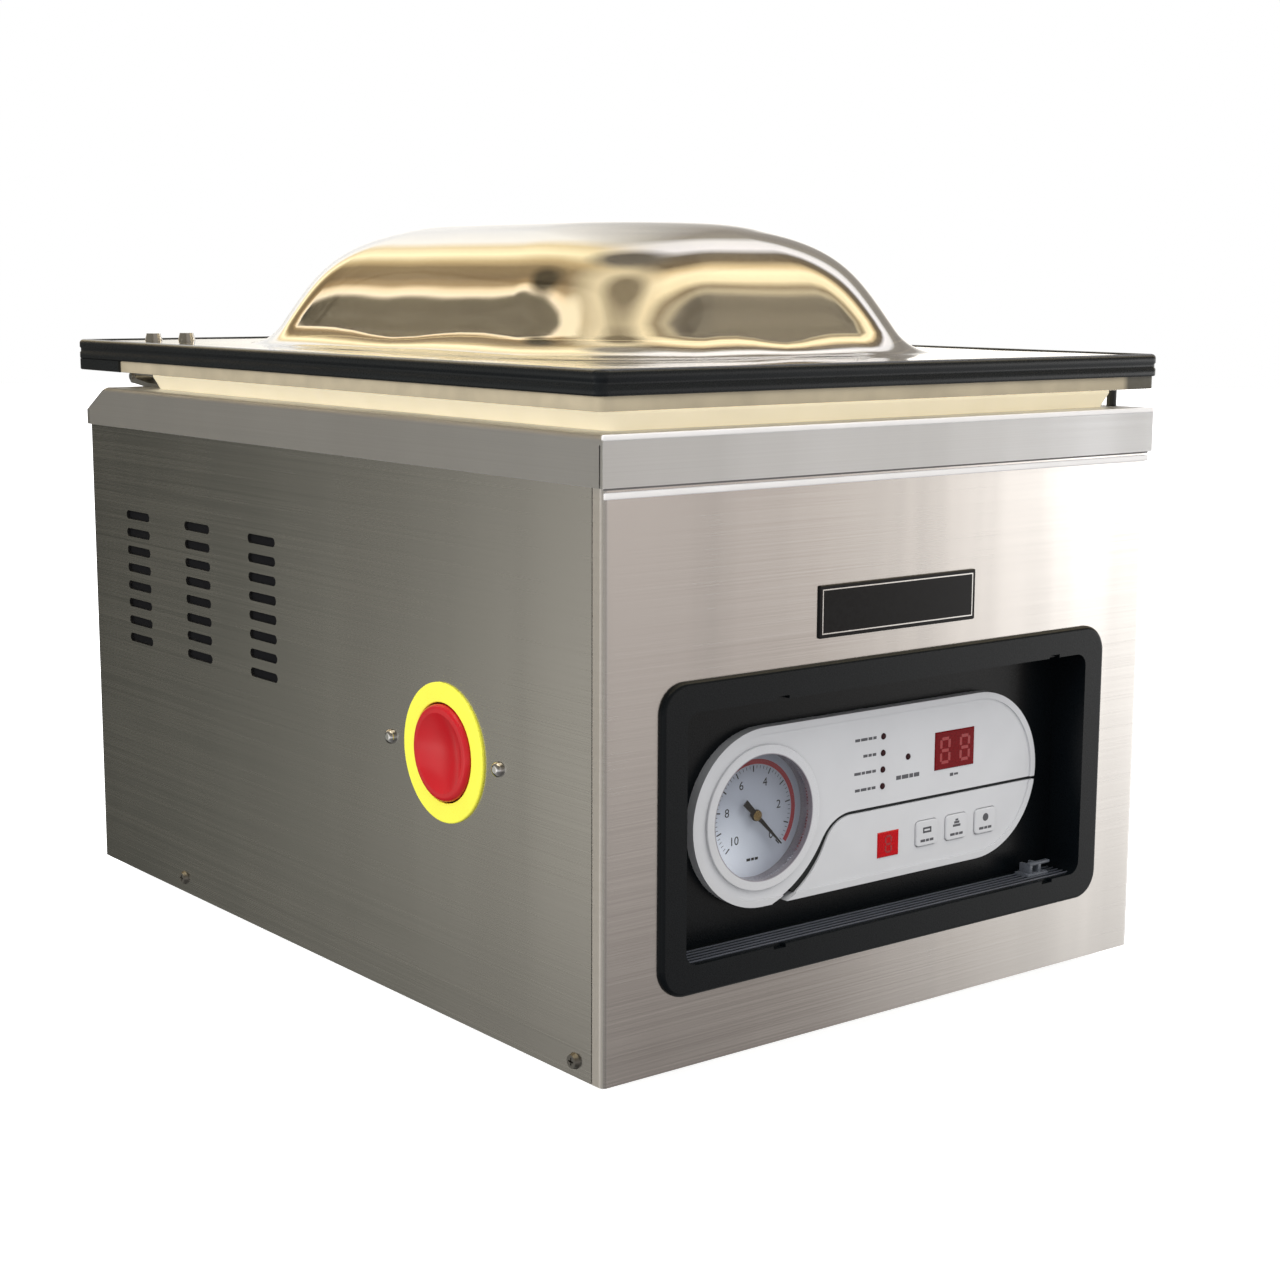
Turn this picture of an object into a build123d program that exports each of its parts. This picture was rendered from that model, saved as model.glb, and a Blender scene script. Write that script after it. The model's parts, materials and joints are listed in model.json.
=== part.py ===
from build123d import *
import math
import os

# Tabletop vacuum chamber sealer: a sheet-metal cabinet with a pressed chamber in its
# deck, a clear domed lid hinged at the back, a lifting seal bar and a vacuum pump inside.
# X runs to the machine's right, Y to its back, Z up.  The origin is on the standing
# surface under the middle of the cabinet.  All sizes are in millimetres.

# ---------------------------------------------------------------- driving dimensions
# cabinet
WIDTH = 330.0
DEPTH = 470.0
FOOT_HEIGHT = 8.0
CABINET_HEIGHT = 268.0  # underside of the cabinet to the deck
SKIRT_HEIGHT = 21.0  # skirt of the top cover
SHEET = 1.5  # stainless sheet
RETURN = 7.0  # front panel's flange round each front corner
SEAM = 0.5  # gap between neighbouring sheets

# chamber
CHAMBER_WIDTH = 280.0
CHAMBER_LENGTH = 382.0
CHAMBER_DEPTH = 65.0
CHAMBER_CORNER = 28.0
CHAMBER_Y = -19.0  # chamber centre, forward of the cabinet's centre
GASKET_BORDER = 10.5
GASKET_CORNER = 6.0  # outer corners; the opening follows the chamber's rounding
GASKET_FLARE = 30.0  # degrees that the gasket's outside leans outwards

# lid
LID_GAP = 9.0  # deck to lid
LID_THICK = 16.0
LID_BAND = 2.0  # thickness of the black edge band
LID_OVERHANG = 4.0  # how far lid and band stand out past the cabinet's sides
LID_FRONT = 2.5  # the same at the front
LID_REAR = 7.0  # and at the back
DOME_HEIGHT = 62.0
DOME_HALF_WIDTH = 115.0
DOME_LENGTH = 328.0
DOME_Y = 4.0
DOME_CORNER = 63.0
DOME_DRAFT = 0.5  # inward lean of the dome's walls, per millimetre of height
DOME_SHOULDER = 50.0  # width of the rounding from wall to crest
SHOULDER_POWER = 5.5  # larger makes the shoulder squarer
DOME_WALL = 5.0

# lid hinge
HINGE_X = 128.0
HINGE_Y = 226.0
HINGE_WIDTH = 32.0
KNUCKLE_R = 3.6
PIN_R = 2.0
RUNNING = 0.05  # radial clearance of a shaft in its bearing

# front controls
BEZEL_WIDTH = 272.0
BEZEL_HEIGHT = 134.0
BEZEL_BORDER = 13.0
BEZEL_PROUD = 2.5
PANEL_LENGTH = 214.0
PANEL_HEIGHT = 80.0
PANEL_RISE = 97.4  # control panel's centre above the cabinet's underside
PANEL_SETBACK = 13.0  # control panel's face behind the front of the cabinet
PANEL_THICK = 5.0
GAUGE_X = -67.0
GAUGE_R = 28.0
KEY_TRAVEL = 1.0

# emergency stop
STOP_Y = -119.5
STOP_RISE = 121.3
STOP_RING_R = 31.5
STOP_HOLE_R = 22.5
STOP_TRAVEL = 5.0

# seal bar
BAR_LENGTH = 262.0
BAR_WIDTH = 24.0
BAR_Y = -188.0
BAR_TRAVEL = 8.6
PISTON_X = 95.0

# ------------------------------------------------------------------- derived levels
HALF_W = WIDTH / 2
HALF_D = DEPTH / 2
BASE_Z = FOOT_HEIGHT
DECK_Z = BASE_Z + CABINET_HEIGHT
SEAM_Z = DECK_Z - SKIRT_HEIGHT
PANEL_TOP_Z = SEAM_Z + 5.0  # the sheets run up behind the skirt
COVER_W = WIDTH + 2 * (SHEET + 0.1)
COVER_D = DEPTH + 2 * (SHEET + 0.1)
LID_Z = DECK_Z + LID_GAP
LID_TOP_Z = LID_Z + LID_THICK
HINGE_Z = LID_Z - KNUCKLE_R - 0.4
PAN_W = WIDTH - 2 * SHEET - 0.2
PAN_D = DEPTH - 2 * SHEET - 0.2
PAN_RIM = 15.0
FLOOR_Z = BASE_Z + SHEET  # inside face of the base pan
TUB_FLOOR_Z = DECK_Z + SHEET - CHAMBER_DEPTH
TUB_WALL = 2.0
CONTROL_Z = BASE_Z + PANEL_RISE
PANEL_FACE_Y = -HALF_D + PANEL_SETBACK
PANEL_BACK_Y = PANEL_FACE_Y + PANEL_THICK
STOP_Z = BASE_Z + STOP_RISE
CHAMBER_FRONT_Y = CHAMBER_Y - CHAMBER_LENGTH / 2
CHAMBER_BACK_Y = CHAMBER_Y + CHAMBER_LENGTH / 2


def facing_front(y):
    """Plane at depth y whose sketch reads (x, z); extruding goes towards the front."""
    return Plane.XZ.offset(-y)


def facing_right(x):
    """Plane at x whose sketch reads (y, z); extruding goes to the right."""
    return Plane.YZ.offset(x)


def level(z):
    """Horizontal plane at height z; extruding goes up."""
    return Plane.XY.offset(z)


# ============================================================ cabinet sheet metal
FOOT_PLACES = [(x, y) for x in (-120.0, 120.0) for y in (-190.0, 190.0)]
SIDE_SCREWS = [(-216.0, BASE_Z + 7.0), (137.0, BASE_Z + 8.0)]
VENT_COLUMNS = [111.8 + step * 68.5 for step in (-1, 0, 1)]
VENT_ROWS = [BASE_Z + 132.5 + row * 9.64 for row in range(8)]
VENT_LENGTH = 27.5
VENT_HEIGHT = 4.6
STOP_SCREWS = [(STOP_Y - 42.0, STOP_Z), (STOP_Y + 44.0, STOP_Z)]
SCREW_R = 2.0
SCREW_HEAD_R = 3.6
SCREW_HEAD = 2.0
SCREW_LENGTH = 10.0
FOOT_RECESS = 4.0
BRACKET_PLATE = 2.0

with BuildPart(level(BASE_Z)) as base_pan:
    Box(PAN_W, PAN_D, PAN_RIM, align=(Align.CENTER, Align.CENTER, Align.MIN))
    with Locations((0, 0, SHEET)):
        Box(
            PAN_W - 2 * SHEET,
            PAN_D - 2 * SHEET,
            PAN_RIM,
            align=(Align.CENTER, Align.CENTER, Align.MIN),
            mode=Mode.SUBTRACT,
        )
    with BuildSketch(level(BASE_Z)):
        with Locations(*FOOT_PLACES):
            Circle(SCREW_R)
    extrude(amount=SHEET, mode=Mode.SUBTRACT)
    with BuildSketch(facing_right(-HALF_W)):
        with Locations(*SIDE_SCREWS):
            Circle(SCREW_R)
    extrude(amount=WIDTH, mode=Mode.SUBTRACT)


def side_sheet(plane):
    """Flat side sheet with its vents and low screw holes, from its outer plane."""
    front_edge = -HALF_D + RETURN + SEAM
    back_edge = HALF_D - SHEET
    with BuildPart() as sheet:
        with BuildSketch(plane):
            with Locations(((front_edge + back_edge) / 2, (BASE_Z + PANEL_TOP_Z) / 2)):
                Rectangle(back_edge - front_edge, PANEL_TOP_Z - BASE_Z)
            with Locations(*[(y, z) for y in VENT_COLUMNS for z in VENT_ROWS]):
                SlotOverall(VENT_LENGTH, VENT_HEIGHT, mode=Mode.SUBTRACT)
            with Locations(*SIDE_SCREWS):
                Circle(SCREW_R, mode=Mode.SUBTRACT)
        extrude(amount=SHEET)
    return sheet.part


with BuildPart() as left_panel:
    add(side_sheet(facing_right(-HALF_W)))
    with BuildSketch(facing_right(-HALF_W)):
        with Locations((STOP_Y, STOP_Z)):
            Circle(STOP_HOLE_R + 0.5)
        with Locations(*STOP_SCREWS):
            Circle(SCREW_R)
    extrude(amount=SHEET, mode=Mode.SUBTRACT)

with BuildPart() as right_panel:
    add(side_sheet(facing_right(HALF_W - SHEET)))

BEZEL_HOLE_W = BEZEL_WIDTH - 2 * BEZEL_BORDER + 9.0
BEZEL_HOLE_H = BEZEL_HEIGHT - 2 * BEZEL_BORDER + 9.0
with BuildPart() as front_panel:
    with BuildSketch(level(BASE_Z)) as front_bend:
        with Locations((0, -HALF_D + RETURN / 2)):
            Rectangle(WIDTH, RETURN)
        front_corners = front_bend.vertices().group_by(Axis.Y)[0]
        fillet(front_corners, radius=2.5)
        with Locations((0, -HALF_D + SHEET + RETURN / 2)):
            Rectangle(WIDTH - 2 * SHEET, RETURN, mode=Mode.SUBTRACT)
    extrude(amount=PANEL_TOP_Z - BASE_Z)
    with BuildSketch(facing_front(-HALF_D + SHEET)):
        with Locations((0, BASE_Z + 98.5)):
            RectangleRounded(BEZEL_HOLE_W, BEZEL_HOLE_H, 8.5)
    extrude(amount=SHEET, mode=Mode.SUBTRACT)

INLET_X = -110.0
INLET_Z = BASE_Z + 50.0
FUSE_X = -62.0
with BuildPart() as rear_panel:
    with BuildSketch(facing_front(HALF_D)):
        with Locations((0, (BASE_Z + PANEL_TOP_Z) / 2)):
            Rectangle(WIDTH, PANEL_TOP_Z - BASE_Z)
        with Locations(*[(x, z) for x in (-45.0, 0.0, 45.0) for z in VENT_ROWS]):
            SlotOverall(VENT_LENGTH, VENT_HEIGHT, mode=Mode.SUBTRACT)
        with Locations((INLET_X, INLET_Z)):
            Rectangle(28.0, 21.0, mode=Mode.SUBTRACT)
        with Locations((FUSE_X, INLET_Z)):
            Circle(6.5, mode=Mode.SUBTRACT)
    extrude(amount=SHEET)

# Rear top edge of the cover is sloped so that the lid's back edge can swing down past it.
SLOPE_START_Y = 213.0
SLOPE_DROP = 13.0
HINGE_SCREW_Y = 201.0
HINGE_SCREWS = [
    (side * HINGE_X + step, HINGE_SCREW_Y) for side in (-1, 1) for step in (-10.0, 10.0)
]
SWITCH_X = 159.0  # lid switch: front right corner, between gasket and skirt
SWITCH_Y = -217.0
SWITCH_HOLE_R = 3.0
TUB_CLEAR = 0.5


def cover_block(half_width, inset):
    """Solid block with the cover's side profile, drawn in by an inset."""
    side = COVER_D / 2 - inset
    drop = SLOPE_DROP * (1 - inset / 60)
    with BuildPart() as block:
        with BuildSketch(Plane.YZ):
            with BuildLine():
                Polyline(
                    (-side, SEAM_Z - (1.0 if inset else 0.0)),
                    (-side, DECK_Z - inset),
                    (SLOPE_START_Y - inset / 3, DECK_Z - inset),
                    (side, DECK_Z - inset - drop),
                    (side, SEAM_Z - (1.0 if inset else 0.0)),
                    close=True,
                )
            make_face()
        extrude(amount=half_width, both=True)
        if not inset:
            top = block.faces().sort_by(Axis.Z)[-1]
            long_edges = top.edges().filter_by(Axis.Y)
            front_edge = top.edges().sort_by(Axis.Y)[0]
            fillet([*long_edges, front_edge], radius=2.5)
    return block.part


with BuildPart() as top_cover:
    add(cover_block(COVER_W / 2, 0.0))
    add(cover_block(COVER_W / 2 - SHEET, SHEET), mode=Mode.SUBTRACT)
    with BuildSketch(level(DECK_Z)):
        with Locations((0, CHAMBER_Y)):
            RectangleRounded(
                CHAMBER_WIDTH + 2 * (TUB_WALL + TUB_CLEAR),
                CHAMBER_LENGTH + 2 * (TUB_WALL + TUB_CLEAR),
                CHAMBER_CORNER + TUB_WALL + TUB_CLEAR,
            )
        with Locations(*HINGE_SCREWS):
            Circle(SCREW_R)
        with Locations((SWITCH_X, SWITCH_Y)):
            Circle(SWITCH_HOLE_R)
    extrude(amount=-SHEET * 2, mode=Mode.SUBTRACT)
    # folded corners stay open as a fine slot beside each corner
    for side_x in (-1, 1):
        for side_y in (-1, 1):
            slot_y = side_y * (COVER_D / 2 - SHEET - 0.4)
            with Locations((side_x * (COVER_W / 2), slot_y, SEAM_Z)):
                Box(
                    2 * SHEET + 0.4,
                    0.8,
                    2 * (SKIRT_HEIGHT - 8.0 if side_y > 0 else SKIRT_HEIGHT - 4.0),
                    mode=Mode.SUBTRACT,
                )

# ------------------------------------------------------------------ feet and screws
with BuildPart() as rubber_feet:
    with BuildSketch(level(0)):
        with Locations(*FOOT_PLACES):
            Circle(14.0)
    extrude(amount=FOOT_HEIGHT, taper=-8)
    chamfer(rubber_feet.faces().group_by(Axis.Z)[0].edges(), length=1.0)
    with BuildSketch(level(0)):
        with Locations(*FOOT_PLACES):
            Circle(5.0)
    extrude(amount=FOOT_RECESS, mode=Mode.SUBTRACT)
    with BuildSketch(level(FOOT_RECESS)):
        with Locations(*FOOT_PLACES):
            Circle(SCREW_R)
    extrude(amount=FOOT_HEIGHT, mode=Mode.SUBTRACT)


def screw(place, direction):
    """M4 pan-head screw whose head stands on a place and points along a direction."""
    seat = Plane(origin=place, z_dir=direction)
    with BuildPart() as body:
        with BuildSketch(seat):
            Circle(SCREW_HEAD_R)
        extrude(amount=SCREW_HEAD, taper=20)
        with BuildSketch(seat):
            Circle(SCREW_R)
        extrude(amount=-SCREW_LENGTH)
        with BuildSketch(seat.offset(SCREW_HEAD)):
            Rectangle(3.4, 0.8)
            Rectangle(0.8, 3.4)
        extrude(amount=-0.9, mode=Mode.SUBTRACT)
    return body.part


with BuildPart() as pan_head_screws:
    for x, y in FOOT_PLACES:
        add(screw((x, y, FOOT_RECESS), (0, 0, -1)))
    for side in (-1, 1):
        for y, z in SIDE_SCREWS:
            add(screw((side * HALF_W, y, z), (side, 0, 0)))
    for x, y in HINGE_SCREWS:
        add(screw((x, y, DECK_Z + BRACKET_PLATE), (0, 0, 1)))

# ================================================================== vacuum chamber
PORT_X = 95.0
PORT_Y = -75.0
PORT_R = 8.0
PORT_TAIL = 14.0
with BuildPart() as chamber_tub:
    with BuildSketch(level(TUB_FLOOR_Z - TUB_WALL)):
        with Locations((0, CHAMBER_Y)):
            RectangleRounded(
                CHAMBER_WIDTH + 2 * TUB_WALL,
                CHAMBER_LENGTH + 2 * TUB_WALL,
                CHAMBER_CORNER + TUB_WALL,
            )
    extrude(amount=CHAMBER_DEPTH + TUB_WALL)
    fillet(chamber_tub.faces().sort_by(Axis.Z)[0].edges(), radius=8.0)
    with BuildSketch(level(DECK_Z)):
        with Locations((0, CHAMBER_Y)):
            RectangleRounded(
                CHAMBER_WIDTH + 2 * GASKET_BORDER - 2.0,
                CHAMBER_LENGTH + 2 * GASKET_BORDER - 2.0,
                GASKET_CORNER - 1.0,
            )
    extrude(amount=SHEET)
    with BuildPart(mode=Mode.SUBTRACT) as chamber_space:
        with BuildSketch(level(TUB_FLOOR_Z)):
            with Locations((0, CHAMBER_Y)):
                RectangleRounded(CHAMBER_WIDTH, CHAMBER_LENGTH, CHAMBER_CORNER)
        extrude(amount=CHAMBER_DEPTH + 5.0)
        fillet(chamber_space.faces().sort_by(Axis.Z)[0].edges(), radius=6.0)
    with BuildSketch(level(TUB_FLOOR_Z)):
        with Locations((PORT_X, PORT_Y)):
            Circle(PORT_R)
    extrude(amount=-2 * TUB_WALL, mode=Mode.SUBTRACT)

GASKET_TOP_Z = LID_Z - 0.3
with BuildPart() as chamber_gasket:
    with BuildSketch(level(DECK_Z + 0.1)):
        with Locations((0, CHAMBER_Y)):
            RectangleRounded(
                CHAMBER_WIDTH + 2 * GASKET_BORDER,
                CHAMBER_LENGTH + 2 * GASKET_BORDER,
                GASKET_CORNER,
            )
    extrude(amount=GASKET_TOP_Z - DECK_Z - 0.1, taper=-GASKET_FLARE)
    top_rim = chamber_gasket.faces().sort_by(Axis.Z)[-1].edges()
    fillet(top_rim, radius=1.5)
    with BuildSketch(level(DECK_Z)):
        with Locations((0, CHAMBER_Y)):
            RectangleRounded(
                CHAMBER_WIDTH + 2 * GASKET_BORDER - 1.8,
                CHAMBER_LENGTH + 2 * GASKET_BORDER - 1.8,
                GASKET_CORNER - 0.9,
            )
    extrude(amount=SHEET, mode=Mode.SUBTRACT)
    with BuildSketch(level(DECK_Z)):
        with Locations((0, CHAMBER_Y)):
            RectangleRounded(CHAMBER_WIDTH, CHAMBER_LENGTH, CHAMBER_CORNER)
    extrude(amount=LID_GAP, mode=Mode.SUBTRACT)

with BuildPart() as vacuum_port:
    with BuildSketch(level(TUB_FLOOR_Z)):
        with Locations((PORT_X, PORT_Y)):
            Circle(13.0)
    extrude(amount=3.0)
    chamfer(vacuum_port.faces().sort_by(Axis.Z)[-1].edges(), length=1.0)
    with BuildSketch(level(TUB_FLOOR_Z)):
        with Locations((PORT_X, PORT_Y)):
            Circle(PORT_R)
    extrude(amount=-TUB_WALL - PORT_TAIL)
    with BuildSketch(level(TUB_FLOOR_Z + 3.0)):
        with Locations((PORT_X, PORT_Y)):
            Circle(5.0)
    extrude(amount=-40.0, mode=Mode.SUBTRACT)

FILLER_WIDTH = 264.0
FILLER_FRONT_Y = -160.0
FILLER_BACK_Y = CHAMBER_BACK_Y - 8.0
FILLER_THICK = 15.0
with BuildPart() as filler_plate:
    filler_length = FILLER_BACK_Y - FILLER_FRONT_Y
    with BuildSketch(level(TUB_FLOOR_Z + 3.2)):
        with Locations((0, (FILLER_FRONT_Y + FILLER_BACK_Y) / 2)):
            RectangleRounded(FILLER_WIDTH, filler_length, CHAMBER_CORNER)
        with Locations((0, FILLER_FRONT_Y + 24.0)):
            SlotOverall(60.0, 20.0, mode=Mode.SUBTRACT)
    extrude(amount=FILLER_THICK)
    chamfer(filler_plate.faces().sort_by(Axis.Z)[-1].edges(), length=1.0)
    with BuildSketch(level(TUB_FLOOR_Z)):
        with Locations((0, (FILLER_FRONT_Y + FILLER_BACK_Y) / 2)):
            with GridLocations(FILLER_WIDTH - 60.0, filler_length - 60.0, 2, 2):
                Circle(8.0)
    extrude(amount=3.2)

# ------------------------------------------------------------------------- seal bar
COUNTER_DEPTH = 7.0
SILICONE_DEPTH = 8.0
SILICONE_Z = LID_Z - COUNTER_DEPTH - SILICONE_DEPTH + 2.0
BAR_TOP_Z = SILICONE_Z - BAR_TRAVEL - 0.4
TAPE = 0.4
HEATER = 0.3
INSULATOR = 3.0
BAR_BODY_TOP_Z = BAR_TOP_Z - TAPE - HEATER - INSULATOR
BAR_BODY_Z = BAR_BODY_TOP_Z - 18.0
CYLINDER_TOP_Z = BAR_BODY_Z - 3.0
PISTON_R = 5.0

with BuildPart() as seal_cylinders:
    with BuildSketch(level(TUB_FLOOR_Z)):
        with Locations((-PISTON_X, BAR_Y), (PISTON_X, BAR_Y)):
            RectangleRounded(34.0, 26.0, 5.0)
    extrude(amount=5.0)
    with BuildSketch(level(TUB_FLOOR_Z + 5.0)):
        with Locations((-PISTON_X, BAR_Y), (PISTON_X, BAR_Y)):
            Circle(11.5)
    extrude(amount=CYLINDER_TOP_Z - TUB_FLOOR_Z - 5.0)
    with BuildSketch(level(CYLINDER_TOP_Z)):
        with Locations((-PISTON_X, BAR_Y), (PISTON_X, BAR_Y)):
            Circle(PISTON_R + RUNNING)
    extrude(amount=TUB_FLOOR_Z + 3.0 - CYLINDER_TOP_Z, mode=Mode.SUBTRACT)

with BuildPart() as seal_pistons:
    with BuildSketch(level(TUB_FLOOR_Z + 4.0)):
        with Locations((-PISTON_X, BAR_Y), (PISTON_X, BAR_Y)):
            Circle(PISTON_R)
    extrude(amount=BAR_BODY_Z - TUB_FLOOR_Z - 4.0)

with BuildPart() as seal_bar:
    with BuildSketch(level(BAR_BODY_Z)):
        with Locations((0, BAR_Y)):
            Rectangle(BAR_LENGTH, BAR_WIDTH - 2 * TAPE)
    extrude(amount=BAR_BODY_TOP_Z - BAR_BODY_Z)
    with BuildSketch(level(BAR_BODY_Z)):
        with Locations((0, BAR_Y)):
            SlotOverall(120.0, 10.0)
    extrude(amount=10.0, mode=Mode.SUBTRACT)

with BuildPart() as seal_insulator:
    with BuildSketch(level(BAR_BODY_TOP_Z)):
        with Locations((0, BAR_Y)):
            Rectangle(BAR_LENGTH, BAR_WIDTH - 2 * TAPE)
    extrude(amount=INSULATOR)

with BuildPart() as seal_heaters:
    with BuildSketch(level(BAR_BODY_TOP_Z + INSULATOR)):
        with Locations((0, BAR_Y - 4.0), (0, BAR_Y + 4.0)):
            Rectangle(BAR_LENGTH, 3.0)
    extrude(amount=HEATER)

with BuildPart() as seal_tape:
    with BuildSketch(facing_right(-BAR_LENGTH / 2 + 1.0)):
        with Locations((BAR_Y, BAR_TOP_Z - 6.0)):
            Rectangle(BAR_WIDTH, 12.0)
        with Locations((BAR_Y, BAR_TOP_Z - TAPE - 6.0)):
            Rectangle(BAR_WIDTH - 2 * TAPE, 12.0, mode=Mode.SUBTRACT)
    extrude(amount=BAR_LENGTH - 2.0)

# ============================================================================= lid
LID_W = WIDTH + 2 * (LID_OVERHANG - LID_BAND)
LID_D = DEPTH + LID_FRONT + LID_REAR - 2 * LID_BAND
LID_Y = (LID_REAR - LID_FRONT) / 2
LID_CORNER = 3.0
BAND_DROP = 10.0
BOLT_R = 2.5
BOLT_Y = 210.0
LID_BOLTS = [(side * HINGE_X + step, BOLT_Y) for side in (-1, 1) for step in (-10.0, 10.0)]
DOME_RINGS = (0.0, 0.3, 0.55, 0.75, 0.87, 0.95, 0.985, 1.0)  # parts of the height


def dome_inset(part):
    """How far the dome's contour is drawn in at a part of its height."""
    shoulder = 1 - math.sqrt(1 - part**SHOULDER_POWER)
    return DOME_DRAFT * DOME_HEIGHT * part + DOME_SHOULDER * shoulder


def dome_block(wall, foot):
    """Dome as a solid loft of rounded rectangles, drawn in by a wall thickness."""
    with BuildPart() as block:
        for part in DOME_RINGS:
            inset = dome_inset(part) + wall
            half = DOME_HALF_WIDTH - inset
            with BuildSketch(level(foot + (DOME_HEIGHT - wall) * part)):
                with Locations((0, DOME_Y)):
                    corner = min(DOME_CORNER - wall, half - 1.0)
                    RectangleRounded(2 * half, DOME_LENGTH - 2 * inset, corner)
        loft()
    return block.part


with BuildPart() as lid_window:
    with BuildSketch(level(LID_Z)):
        with Locations((0, LID_Y)):
            RectangleRounded(LID_W, LID_D, LID_CORNER)
    extrude(amount=LID_THICK)
    add(dome_block(0.0, LID_TOP_Z))
    add(dome_block(DOME_WALL, LID_TOP_Z), mode=Mode.SUBTRACT)
    with BuildSketch(level(LID_Z)):
        with Locations((0, DOME_Y)):
            RectangleRounded(
                2 * (DOME_HALF_WIDTH - DOME_WALL),
                DOME_LENGTH - 2 * DOME_WALL,
                DOME_CORNER - DOME_WALL,
            )
    extrude(amount=LID_THICK, mode=Mode.SUBTRACT)
    with BuildSketch(level(LID_Z)):
        with Locations(*LID_BOLTS):
            Circle(BOLT_R)
    extrude(amount=LID_THICK, mode=Mode.SUBTRACT)

BAND_REAR_Y = 190.0  # behind this the band covers the lid's full thickness
with BuildPart() as lid_edge_band:
    with BuildSketch(level(LID_Z)):
        with Locations((0, LID_Y)):
            RectangleRounded(LID_W + 2 * LID_BAND, LID_D + 2 * LID_BAND, LID_CORNER + LID_BAND)
            RectangleRounded(LID_W, LID_D, LID_CORNER, mode=Mode.SUBTRACT)
    extrude(amount=LID_THICK)
    chamfer(lid_edge_band.faces().sort_by(Axis.Z)[-1].outer_wire().edges(), length=0.9)
    with Locations((0, BAND_REAR_Y - DEPTH, LID_Z)):
        Box(
            WIDTH * 2,
            DEPTH * 2,
            2 * (LID_THICK - BAND_DROP),
            align=(Align.CENTER, Align.CENTER, Align.CENTER),
            mode=Mode.SUBTRACT,
        )

with BuildPart() as counter_holder:
    with BuildSketch(facing_right(-BAR_LENGTH / 2)):
        with Locations((BAR_Y, LID_Z - COUNTER_DEPTH / 2)):
            Rectangle(22.0, COUNTER_DEPTH)
        with Locations((BAR_Y, LID_Z - COUNTER_DEPTH + 1.0)):
            Rectangle(14.0, 2.0, mode=Mode.SUBTRACT)
    extrude(amount=BAR_LENGTH)

with BuildPart() as counter_silicone:
    with BuildSketch(facing_right(-BAR_LENGTH / 2)):
        with Locations((BAR_Y, SILICONE_Z + SILICONE_DEPTH / 2)):
            RectangleRounded(14.0, SILICONE_DEPTH, 1.0)
    extrude(amount=BAR_LENGTH)

# --------------------------------------------------------------------------- hinges
LEAF_THICK = 3.0
LEAF_FRONT_Y = 198.0
LEAF_BACK_Y = HINGE_Y - KNUCKLE_R - 0.6
KNUCKLE_HALF = 4.8
BRACKET_INNER = 5.2
BRACKET_FRONT_Y = 193.0
BRACKET_BACK_Y = 211.5

with BuildPart() as lid_hinge_leaves:
    for side in (-1, 1):
        centre = side * HINGE_X
        with BuildSketch(level(LID_Z)):
            with Locations((centre, (LEAF_FRONT_Y + LEAF_BACK_Y) / 2)):
                Rectangle(HINGE_WIDTH, LEAF_BACK_Y - LEAF_FRONT_Y)
            with Locations((centre, (LEAF_BACK_Y + HINGE_Y) / 2)):
                Rectangle(2 * KNUCKLE_HALF, HINGE_Y - LEAF_BACK_Y)
        extrude(amount=-LEAF_THICK)
        with BuildSketch(facing_right(centre - KNUCKLE_HALF)):
            with Locations((HINGE_Y, HINGE_Z)):
                Circle(KNUCKLE_R)
        extrude(amount=2 * KNUCKLE_HALF)
        with BuildSketch(facing_right(centre - KNUCKLE_HALF)):
            with Locations((HINGE_Y, HINGE_Z)):
                Circle(PIN_R + RUNNING)
        extrude(amount=2 * KNUCKLE_HALF, mode=Mode.SUBTRACT)
    with BuildSketch(level(LID_Z)):
        with Locations(*LID_BOLTS):
            Circle(BOLT_R)
    extrude(amount=-LEAF_THICK, mode=Mode.SUBTRACT)

with BuildPart() as hinge_brackets:
    arm_length = HINGE_WIDTH / 2 - BRACKET_INNER
    for side in (-1, 1):
        centre = side * HINGE_X
        with BuildSketch(level(DECK_Z)):
            with Locations((centre, (BRACKET_FRONT_Y + BRACKET_BACK_Y) / 2)):
                Rectangle(HINGE_WIDTH, BRACKET_BACK_Y - BRACKET_FRONT_Y)
        extrude(amount=BRACKET_PLATE)
        for start in (centre - HINGE_WIDTH / 2, centre + BRACKET_INNER):
            with BuildSketch(facing_right(start)):
                with BuildLine():
                    Polyline(
                        (BRACKET_BACK_Y - 6.0, DECK_Z),
                        (BRACKET_BACK_Y, DECK_Z),
                        (HINGE_Y, HINGE_Z - KNUCKLE_R),
                        (HINGE_Y, HINGE_Z),
                        (BRACKET_BACK_Y + 6.0, DECK_Z + BRACKET_PLATE + 1.4),
                        (BRACKET_BACK_Y - 6.0, DECK_Z + BRACKET_PLATE),
                        close=True,
                    )
                make_face()
                with Locations((HINGE_Y, HINGE_Z)):
                    Circle(KNUCKLE_R)
                    Circle(PIN_R, mode=Mode.SUBTRACT)
            extrude(amount=arm_length)
    with BuildSketch(level(DECK_Z)):
        with Locations(*HINGE_SCREWS):
            Circle(SCREW_R)
    extrude(amount=BRACKET_PLATE, mode=Mode.SUBTRACT)

with BuildPart() as hinge_pins:
    for side in (-1, 1):
        start = side * HINGE_X - HINGE_WIDTH / 2 - 1.0
        with BuildSketch(facing_right(start)):
            with Locations((HINGE_Y, HINGE_Z)):
                Circle(PIN_R)
        extrude(amount=HINGE_WIDTH + 2.0)

with BuildPart() as lid_bolts:
    with BuildSketch(level(LID_TOP_Z)):
        with Locations(*LID_BOLTS):
            Circle(4.8)
    extrude(amount=4.0, taper=14)
    with BuildSketch(level(LID_TOP_Z)):
        with Locations(*LID_BOLTS):
            Circle(BOLT_R)
    extrude(amount=-LID_THICK - LEAF_THICK)

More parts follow.
